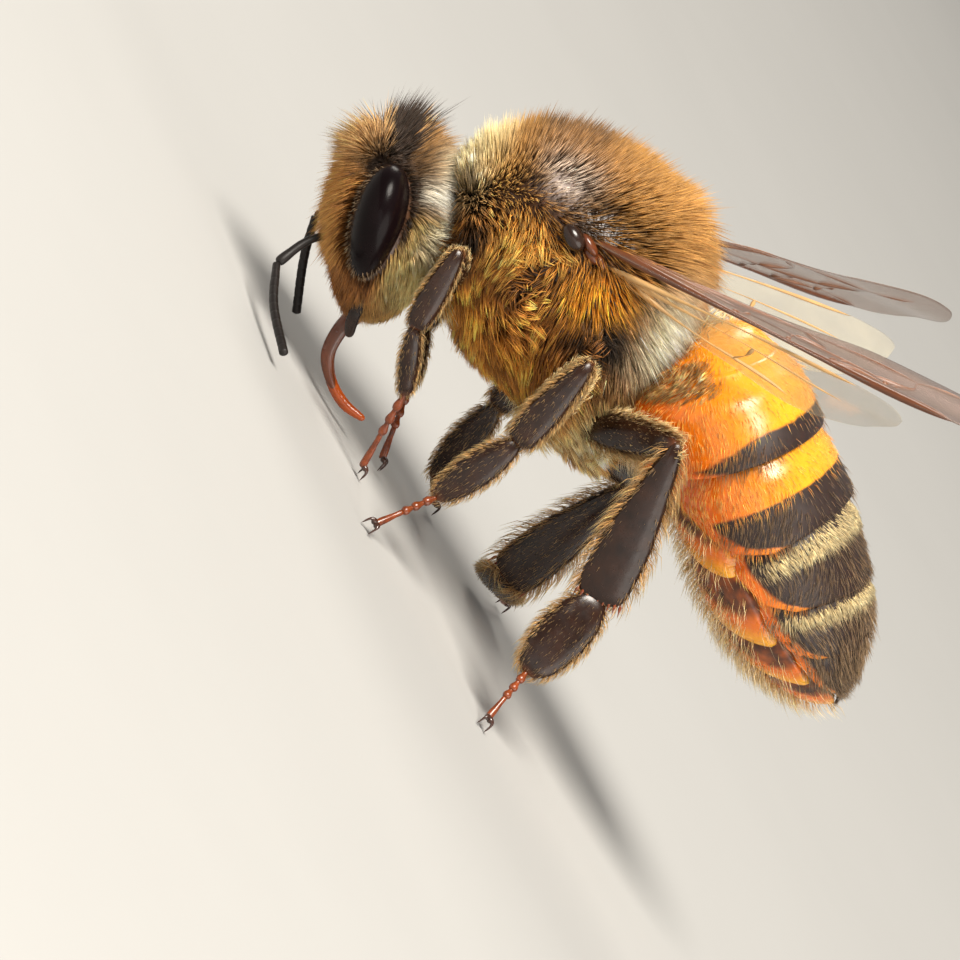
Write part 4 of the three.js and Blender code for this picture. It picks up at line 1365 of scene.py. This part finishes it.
# Values of a look: length, width and clump size in mm, lift in degrees from the skin, the rest as shares
thoraxCoat = {
    "hairs": 59000,
    "side": {
        "length": 0.55, "lift": 40, "bend": 0.3, "stray": 0.2, "swirl": 0.75, "clump": 0.82,
        "clumpSize": 0.15, "width": 0.0104, "toneSpread": 0.35, "lockSpread": 0.55,
        "lie": (0.73, 0, -0.7), "rootTone": (0.007, 0.0025, 0.001), "tipTone": (0.84, 0.31, 0.055),
    },
    "back": {
        "length": 0.64, "lift": 74, "bend": 0.08, "stray": 0.06, "swirl": 0.1, "clump": 0.12,
        "clumpSize": 0.12, "width": 0.0086, "toneSpread": 0.25, "lockSpread": 0.1, "lie": (1, 0, 0),
        "rootTone": (0.15, 0.052, 0.006), "tipTone": (0.45, 0.235, 0.062),
    },
    "belly": {
        "length": 0.72, "lift": 48, "lie": (0.8, 0, -0.6), "rootTone": (0.2, 0.055, 0.004),
        "tipTone": (0.9, 0.36, 0.055),
    },
    # glow is painted light: brighter golden hair in front of the wing base, where the coat glows in the
    # light.
    "glow": {
        "swirl": 0.8, "lift": 42, "lockSpread": 0.35, "rootTone": (0.55, 0.18, 0.012),
        "tipTone": (1.0, 0.6, 0.15),
    },
    # flame: orange hair under the wing root, partly its own colour and partly painted light that makes up
    # for the shade of the wing root and tegula.
    "flame": {
        "lift": 40, "swirl": 0.3, "clump": 0.3, "lockSpread": 0.1, "rootTone": (0.8, 0.26, 0.01),
        "tipTone": (1.0, 0.5, 0.05),
    },
    "halo": {"rootTone": (0.08, 0.028, 0.004), "tipTone": (0.34, 0.165, 0.045)},
    "ridge": {"rootTone": (0.015, 0.008, 0.004), "tipTone": (0.085, 0.05, 0.028)},
    "collar": {
        "length": 0.62, "lift": 74, "lie": (-0.4, 0, 0.6), "rootTone": (0.45, 0.28, 0.07),
        "tipTone": (0.98, 0.82, 0.46),
    },
    "scutellum": {
        "length": 0.82, "lift": 50, "lie": (1, 0, 0.2), "rootTone": (0.26, 0.08, 0.006),
        "tipTone": (0.66, 0.37, 0.12),
    },
    "rearTuft": {
        "length": 0.72, "lift": 64, "lie": (0.8, 0, -0.3), "swirl": 0.2, "clump": 0.3,
        "lockSpread": 0.1, "rootTone": (0.95, 0.82, 0.5), "tipTone": (1.0, 0.96, 0.76),
    },
    "lowRear": {"length": 0.66, "lift": 50, "rootTone": (0.5, 0.32, 0.1), "tipTone": (1.0, 0.8, 0.44)},
    "dark": {"clump": 0.2, "rootTone": (0.01, 0.006, 0.004), "tipTone": (0.045, 0.028, 0.016)},
    # Short hair on the bare patch, its pale tone a painted highlight.
    "stubbleSheen": {
        "length": 0.13, "width": 0.007, "lift": 50, "clump": 0.1, "lockSpread": 0.0,
        "rootTone": (0.6, 0.48, 0.38), "tipTone": (1.0, 0.92, 0.82),
    },
    "shoulder": {
        "length": 0.2, "lift": 60, "clump": 0.5, "clumpSize": 0.1, "rootTone": (0.03, 0.012, 0.003),
        "tipTone": (0.75, 0.4, 0.1),
    },
    # socket: short dark hair round the tegula, dark as painted shade.
    "socketShade": {
        "length": 0.2, "lift": 30, "rootTone": (0.012, 0.006, 0.003), "tipTone": (0.06, 0.03, 0.012),
    },
    "sideShare": 0.37,  # how dense the hair of the sides is
    # where other looks lie: look, weight, middle and radii
    "places": [
        ("glow", 1.4, (-1.2, 1.75, 0.45), (0.7, 0.8, 0.45)),
        ("flame", 1.2, (0.53, 1.75, 0.3), (0.5, 0.8, 0.4)),
        ("ridge", 2.2, (-1.3, 0.0, 1.95), (0.52, 0.85, 0.4)),
    ],
    "rearPlaces": [
        ("scutellum", 1.3, (1.5, 0.0, 1.7), (0.62, 1.5, 0.7)),
        ("rearTuft", 1.6, (1.8, 1.5, 0.2), (0.45, 1.0, 0.7)),
        ("lowRear", 1.3, (1.75, 1.3, -2.0), (0.6, 1.4, 0.7)),
        ("shoulder", 1.4, (-1.95, 1.3, 1.0), (0.45, 0.6, 0.36)),
        ("socketShade", 1.5, (-0.5, 1.9, 1.02), (0.4, 0.6, 0.24)),
        ("halo", 1.4, (-1.15, 1.25, 1.8), (0.8, 1.0, 0.56)), ("stubbleSheen", 1.8, *thoraxForm["barePatch"]),
        ("dark", 1.5, (0.98, 2.0, -0.4), (0.48, 0.9, 0.45)),
        ("dark", 1.5, (-1.95, 1.5, -0.2), (0.28, 0.8, 0.5)),
        ("dark", 1.5, (-2.3, 1.2, 0.5), (0.14, 0.6, 0.4)),
        # The next two are thin lines of dark hair above the tegula and the wing hinges: painted shade.
        ("dark", 1.5, (0.6, 1.8, 1.36), (0.42, 0.4, 0.08)),
        ("dark", 1.5, (-0.28, 1.7, 1.44), (0.26, 0.4, 0.08)),
    ],
    "denser": ((1.8, 1.5, 0.2), (0.45, 1.0, 0.7)),  # where the hair is up to twice as dense
}


def growThoraxCoat():
    grid = thoraxSurface["points"]
    share = mix(1, thoraxCoat["sideShare"], ramp(0.5, 0.85, np.abs(thoraxSurface["normals"][..., 1])))
    share = share * (1 + spot(grid, *thoraxCoat["denser"]))
    share = share * (1 - np.minimum(1.4 * spot(grid, *thoraxForm["barePatch"]), 0.85))
    roots = scatter(thoraxSurface, thoraxCoat["hairs"], share)
    points, upright = roots["points"], roots["normals"][:, 2]
    layers = [(ramp(0.1, 0.55, upright), thoraxCoat["back"])]
    layers += [(ramp(-0.2, -0.6, upright), thoraxCoat["belly"])]
    layers += placeLayers(points, thoraxCoat, thoraxCoat["places"])
    layers += [(ramp(-1.9, -2.3, points[:, 0]) * ramp(0.1, 0.6, points[:, 2]), thoraxCoat["collar"])]
    layers += placeLayers(points, thoraxCoat, thoraxCoat["rearPlaces"])
    look = layered(len(points), thoraxCoat["side"], layers)
    growCoat("thoraxCoat", roots, look, thoraxPlace, hairs["goldHair"])


growThoraxCoat()

headCoat = {
    "hairs": 31000,
    "face": {
        "length": 0.52, "lift": 66, "bend": 0.2, "stray": 0.09, "swirl": 0.15, "clump": 0.15,
        "clumpSize": 0.1, "width": 0.0085, "toneSpread": 0.3, "lockSpread": 0.12, "lie": (1, 0, 0),
        "rootTone": (0.16, 0.05, 0.006), "tipTone": (0.9, 0.43, 0.12),
    },
    "lowerFace": {
        "length": 0.33, "lift": 44, "rootTone": (0.07, 0.022, 0.004), "tipTone": (0.5, 0.2, 0.05),
    },
    "crown": {
        "length": 0.9, "lift": 86, "stray": 0.07, "swirl": 0.3, "clump": 0.15, "clumpSize": 0.12,
        "width": 0.0088, "lie": (0.2, 0, 0.2), "rootTone": (0.28, 0.1, 0.012),
        "tipTone": (1.0, 0.62, 0.27),
    },
    "crest": {
        "length": 1.0, "rootTone": (0.008, 0.005, 0.004), "tipTone": (0.035, 0.022, 0.015),
        "width": 0.008,
    },
    "brow": {
        "length": 0.2, "lift": 50, "rootTone": (0.01, 0.006, 0.004), "tipTone": (0.05, 0.026, 0.014),
        "width": 0.007,
    },
    "occiput": {
        "length": 0.72, "lift": 76, "lie": (-0.4, 0, 1), "rootTone": (0.08, 0.026, 0.004),
        "tipTone": (0.38, 0.19, 0.05),
    },
    "nape": {
        "length": 0.66, "lift": 70, "lie": (-0.4, 0, 1), "lockSpread": 0.05,
        "rootTone": (0.58, 0.5, 0.32), "tipTone": (0.92, 0.88, 0.68),
    },
    "cheek": {
        "length": 0.34, "lift": 28, "lie": (1, 0, 0.3), "clump": 0.5, "lockSpread": 0.35,
        "rootTone": (0.2, 0.1, 0.02), "tipTone": (1.0, 0.74, 0.3),
    },
    "cheekTop": {
        "length": 0.6, "lift": 50, "clump": 0.3, "lockSpread": 0.0, "lie": (0.3, 0, 1), "width": 0.01,
        "rootTone": (0.6, 0.54, 0.42), "tipTone": (0.92, 0.87, 0.74),
    },
    "beard": {
        "length": 0.34, "lift": 34, "lie": (1, 0, 0.35), "rootTone": (0.2, 0.08, 0.015),
        "tipTone": (0.75, 0.42, 0.13),
    },
    "eyeHairs": 200,
    "eyeHair": {
        "length": 0.1, "lift": 60, "bend": 0.1, "stray": 0.2, "swirl": 0.3, "clump": 0.0,
        "clumpSize": 0.2, "width": 0.006, "toneSpread": 0.5, "lockSpread": 0, "lie": (1, 0, 0),
        "rootTone": (0.06, 0.03, 0.012), "tipTone": (0.5, 0.34, 0.19),
    },
    "napePlace": ((-1.4, 0.35, 0.5), (0.3, 1.0, 0.23)),
    "cheekPlace": ((-0.98, 0.95, 0.36), (0.19, 0.4, 0.14)),
    "cheekDenser": ((-0.98, 0.95, 0.36), (0.24, 0.5, 0.2)),
    "crestPlace": ((-1.5, 0.0, -0.28), (0.42, 2.5, 0.16)),
    "browPlace": ((-1.25, 1.05, -0.35), (0.26, 0.7, 0.38)),
}


# 1 on the eye's surface, less inside it
def eyeDistance(points):
    centre, half = headForm["eye"]
    away = (points * np.array([1, 0, 1]) + np.abs(points) * np.array([0, 1, 0]) - centre) / half
    return np.linalg.norm(away, axis=-1)


# The crest is a random mixture: a hair is dark where 1.9 · spot is above its draw
def growHeadCoat():
    grid = headSurface["points"]
    density = ramp(0.98, 1.08, eyeDistance(grid)) * ramp(1.72, 1.5, grid[..., 0])
    denser = ramp(-0.7, -1.2, grid[..., 0]) + 1.8 * spot(grid, *headCoat["cheekDenser"])
    roots = scatter(headSurface, headCoat["hairs"], density * (1 + denser))
    points, facing = roots["points"], roots["normals"][:, 2]
    x, y, z = points.T
    nearEye = ramp(1.22, 1.1, eyeDistance(points))
    isCrest = 1.9 * spot(points, *headCoat["crestPlace"]) > chance.random(len(x))
    layers = [
        (ramp(0.2, 0.8, x) * ramp(0.1, -0.2, facing), headCoat["lowerFace"]),
        (ramp(-0.15, 0.25, facing) * ramp(-1.2, -0.6, x), headCoat["cheek"]),
        (ramp(0.85, 1.25, x) * ramp(-0.35, 0.0, z), headCoat["beard"]),
        (ramp(-0.95, -1.3, x) * ramp(0.3, 0.0, z), headCoat["crown"]),
        (ramp(-0.2, 0.02, z) * ramp(-0.5, -0.8, x), headCoat["occiput"]),
        (ramp(0.4, 0.56, z) * ramp(0.2, -0.3, x), headCoat["nape"]),
        (2.4 * spot(points, *headCoat["napePlace"]), headCoat["nape"]),
        (2.0 * spot(points, *headCoat["cheekPlace"]), headCoat["cheekTop"]),
        (1.0 * isCrest, headCoat["crest"]),
        (nearEye * ramp(-0.1, 0.1, z) * ramp(0.1, -0.2, x), headCoat["brow"]),
        (1.8 * spot(points, *headCoat["browPlace"]), headCoat["brow"]),
    ]
    look = layered(len(x), headCoat["face"], layers)
    growCoat("headCoat", roots, look, headPlace, hairs["goldHair"])
    middle, (_, deep, _) = headForm["eye"]
    for side, word in bothSides:
        surface = eyeSurfaces[side]
        outward = (surface["points"][..., 1] * side - middle[1]) / deep
        place = surface["points"] - np.array(middle)
        rim = np.maximum(ramp(-0.12, -0.3, place[..., 2]), ramp(0.5, 0.8, place[..., 0]))
        density = ramp(0.0, 0.15, outward) * ramp(0.6, 0.35, outward) * rim
        roots = scatter(surface, headCoat["eyeHairs"], density)
        look = layered(len(roots["points"]), headCoat["eyeHair"], [])
        growCoat("eyeRim" + word, roots, look, headPlace, hairs["fineHair"])


growHeadCoat()

plateCoat = {
    "amber": {
        "length": 0.22, "lift": 20, "bend": 0.25, "stray": 0.12, "swirl": 0.25, "clump": 0.12,
        "clumpSize": 0.12, "width": 0.0058, "toneSpread": 0.3, "lockSpread": 0.1, "lie": (1, 0, -0.3),
        "rootTone": (0.9, 0.26, 0.01), "tipTone": (1.0, 0.64, 0.19),
    },
    "banded": {
        "length": 0.25, "width": 0.0057, "swirl": 0.4, "rootTone": (0.05, 0.022, 0.01),
        "tipTone": (0.42, 0.28, 0.15),
    },
    "cream": {
        "length": 0.4, "lift": 46, "lie": (1, 0, -0.5), "clump": 0.35, "width": 0.01,
        "rootTone": (0.6, 0.45, 0.18), "tipTone": (0.98, 0.84, 0.5),
    },
    "brush": {
        "length": 0.3, "lift": 34, "width": 0.0078, "clump": 0.6, "clumpSize": 0.11, "swirl": 0.6,
        "lockSpread": 0.5, "lie": (0.8, 0, -0.6), "rootTone": (0.42, 0.11, 0.008),
        "tipTone": (1.0, 0.66, 0.24),
    },
    "felt": {
        "length": 0.19, "lift": 16, "width": 0.0105, "clump": 0.25, "rootTone": (0.5, 0.36, 0.16),
        "tipTone": (0.78, 0.65, 0.38),
    },
    "fringe": {
        "length": 0.28, "lift": 30, "width": 0.0057, "swirl": 0.4, "rootTone": (0.06, 0.028, 0.012),
        "tipTone": (0.52, 0.35, 0.19),
    },
    "sternite": {
        "length": 0.4, "lift": 58, "bend": 0.3, "stray": 0.14, "swirl": 0.2, "clump": 0.1,
        "clumpSize": 0.15, "width": 0.0052, "toneSpread": 0.2, "lockSpread": 0.1, "lie": (1, 0, -0.1),
        "rootTone": (0.7, 0.45, 0.16), "tipTone": (1.0, 0.86, 0.6),
    },
    # hairs on each segment's upper plate, where its felt band ends, and how dense the felt is there
    "counts": [3600, 3000, 3000, 6600, 4400, 1400],
    "feltEnds": [0, 0, 0, 0.43, 0.42, 0],
    "feltDensity": 6.5,
    "sternites": 620,
}


# 1 within a segment's felt band, which ends at t = feltEnd
def feltShare(feltEnd, t):
    return ramp(feltEnd + 0.04, feltEnd - 0.06, t) * (feltEnd > 0)


def growUpperCoat(number, segment, surface):
    long = segment["to"] - segment["from"]
    hidden = abdomenForm["overlap"] / (long + abdomenForm["overlap"]) if number > 1 else 0
    t, height = surface["t"], np.sin(surface["angle"])
    feltEnd = plateCoat["feltEnds"][number - 1]
    bare = ramp(0.25, 0.6, height) * (number < 4)
    density = 1 + plateCoat["feltDensity"] * feltShare(feltEnd, t) * ramp(-0.3, 0.15, height)
    if number == 1:
        density = 0.6 + 0.9 * ramp(0.25, 0.36, t) * ramp(0.5, 0.2, height)
    density = ramp(hidden - 0.03, hidden, t) * density * (1 - 0.85 * bare)
    roots = scatter(surface, plateCoat["counts"][number - 1], density)
    t, height = roots["t"], np.sin(roots["angle"])
    layers = [(bandOf(segment, t, roots["angle"]), plateCoat["banded"])]
    if number == 1:
        layers.append((ramp(0.26, 0.12, t), plateCoat["cream"]))
        layers.append((ramp(0.25, 0.36, t) * ramp(0.5, 0.25, height), plateCoat["brush"]))
    if number > 4:
        layers.append((1 + 0 * t, plateCoat["fringe"]))
    if feltEnd:
        layers.append((feltShare(feltEnd, t) * ramp(-0.35, 0.05, height), plateCoat["felt"]))
    look = layered(len(t), plateCoat["amber"], layers)
    growCoat(f"tergiteCoat{number}", roots, look, beePlace, hairs["fineHair"])


def growLowerCoat(number, surface):
    under = ramp(-0.62, -0.9, surface["normals"][..., 2])
    density = ramp(0.25, 0.5, surface["t"]) * (0.12 + 0.88 * under)
    roots = scatter(surface, plateCoat["sternites"], density)
    look = layered(len(roots["t"]), plateCoat["sternite"], [])
    growCoat(f"sterniteCoat{number}", roots, look, beePlace, hairs["fineHair"])


for number, (segment, surface) in enumerate(zip(segments, upperPlates), 1):
    growUpperCoat(number, segment, surface)
for number, surface in enumerate(lowerPlates, 2):
    growLowerCoat(number, surface)

limbCoat = {
    "base": {
        "length": 0.13, "lift": 24, "bend": 0.2, "stray": 0.12, "swirl": 0.1, "clump": 0.0,
        "clumpSize": 0.12, "width": 0.0052, "toneSpread": 0.4, "lockSpread": 0, "lie": (1, 0, 0),
        "rootTone": (0.06, 0.027, 0.008), "tipTone": (0.42, 0.27, 0.12),
    },
    "fringe": {
        "lift": 46, "bend": 0.5, "width": 0.0062, "rootTone": (0.3, 0.13, 0.025),
        "tipTone": (0.98, 0.7, 0.32),
    },
    "coxa": {
        "length": 0.46, "lift": 50, "stray": 0.14, "swirl": 0.3, "clump": 0.35, "width": 0.009,
        "rootTone": (0.45, 0.26, 0.06), "tipTone": (0.96, 0.76, 0.42),
    },
    "coxaHairs": 800,
    # hairs, length of the fringe on the edges, and share of the hairs on the outer face
    "front": {"Femur": (800, 0.15, 0.4), "Tibia": (700, 0.15, 0.4), "Basitarsus": (600, 0.15, 0.5)},
    "middle": {"Femur": (1700, 0.22, 0.4), "Tibia": (1500, 0.2, 0.5), "Basitarsus": (1300, 0.2, 0.5)},
    "hind": {"Femur": (1900, 0.3, 0.4), "Tibia": (1500, 0.42, 0.02), "Basitarsus": (1700, 0.24, 0.35)},
}


# The fringe stands on the limb's edges, by |cos a|^6, and the outer face has its own share of the hairs
def growLimbCoat(pair, word, part):
    surface = limbSurfaces[pair + word + part]
    count, long, outer = limbCoat[pair][part]
    angle = 2 * np.pi * surface["v"]
    face = mix(1.0, outer, ramp(-0.1, 0.3, np.sin(angle)))
    density = ramp(0.02, 0.1, surface["u"]) * (face + 1.2 * np.abs(np.cos(angle)) ** 4)
    roots = scatter(surface, count, density)
    edge = np.abs(np.cos(2 * np.pi * roots["v"])) ** 6
    look = layered(count, limbCoat["base"], [(edge, {**limbCoat["fringe"], "length": long})])
    look["lie"] = roots["along"]
    growCoat(f"{pair}{word}{part}Coat", roots, look, beePlace, hairs["fineHair"])


def growCoxaCoat(pair, word):
    surface, count = limbSurfaces[pair + word + "Coxa"], limbCoat["coxaHairs"]
    roots = scatter(surface, count, 1 + 0 * surface["u"])
    look = layered(count, limbCoat["base"], [(np.ones(count), limbCoat["coxa"])])
    growCoat(f"{pair}{word}CoxaCoat", roots, look, beePlace, hairs["fineHair"])


for pair in limbSizes:
    for side, word in bothSides:
        for part in limbSizes[pair]:
            growLimbCoat(pair, word, part)
        growCoxaCoat(pair, word)
print("coat grown")
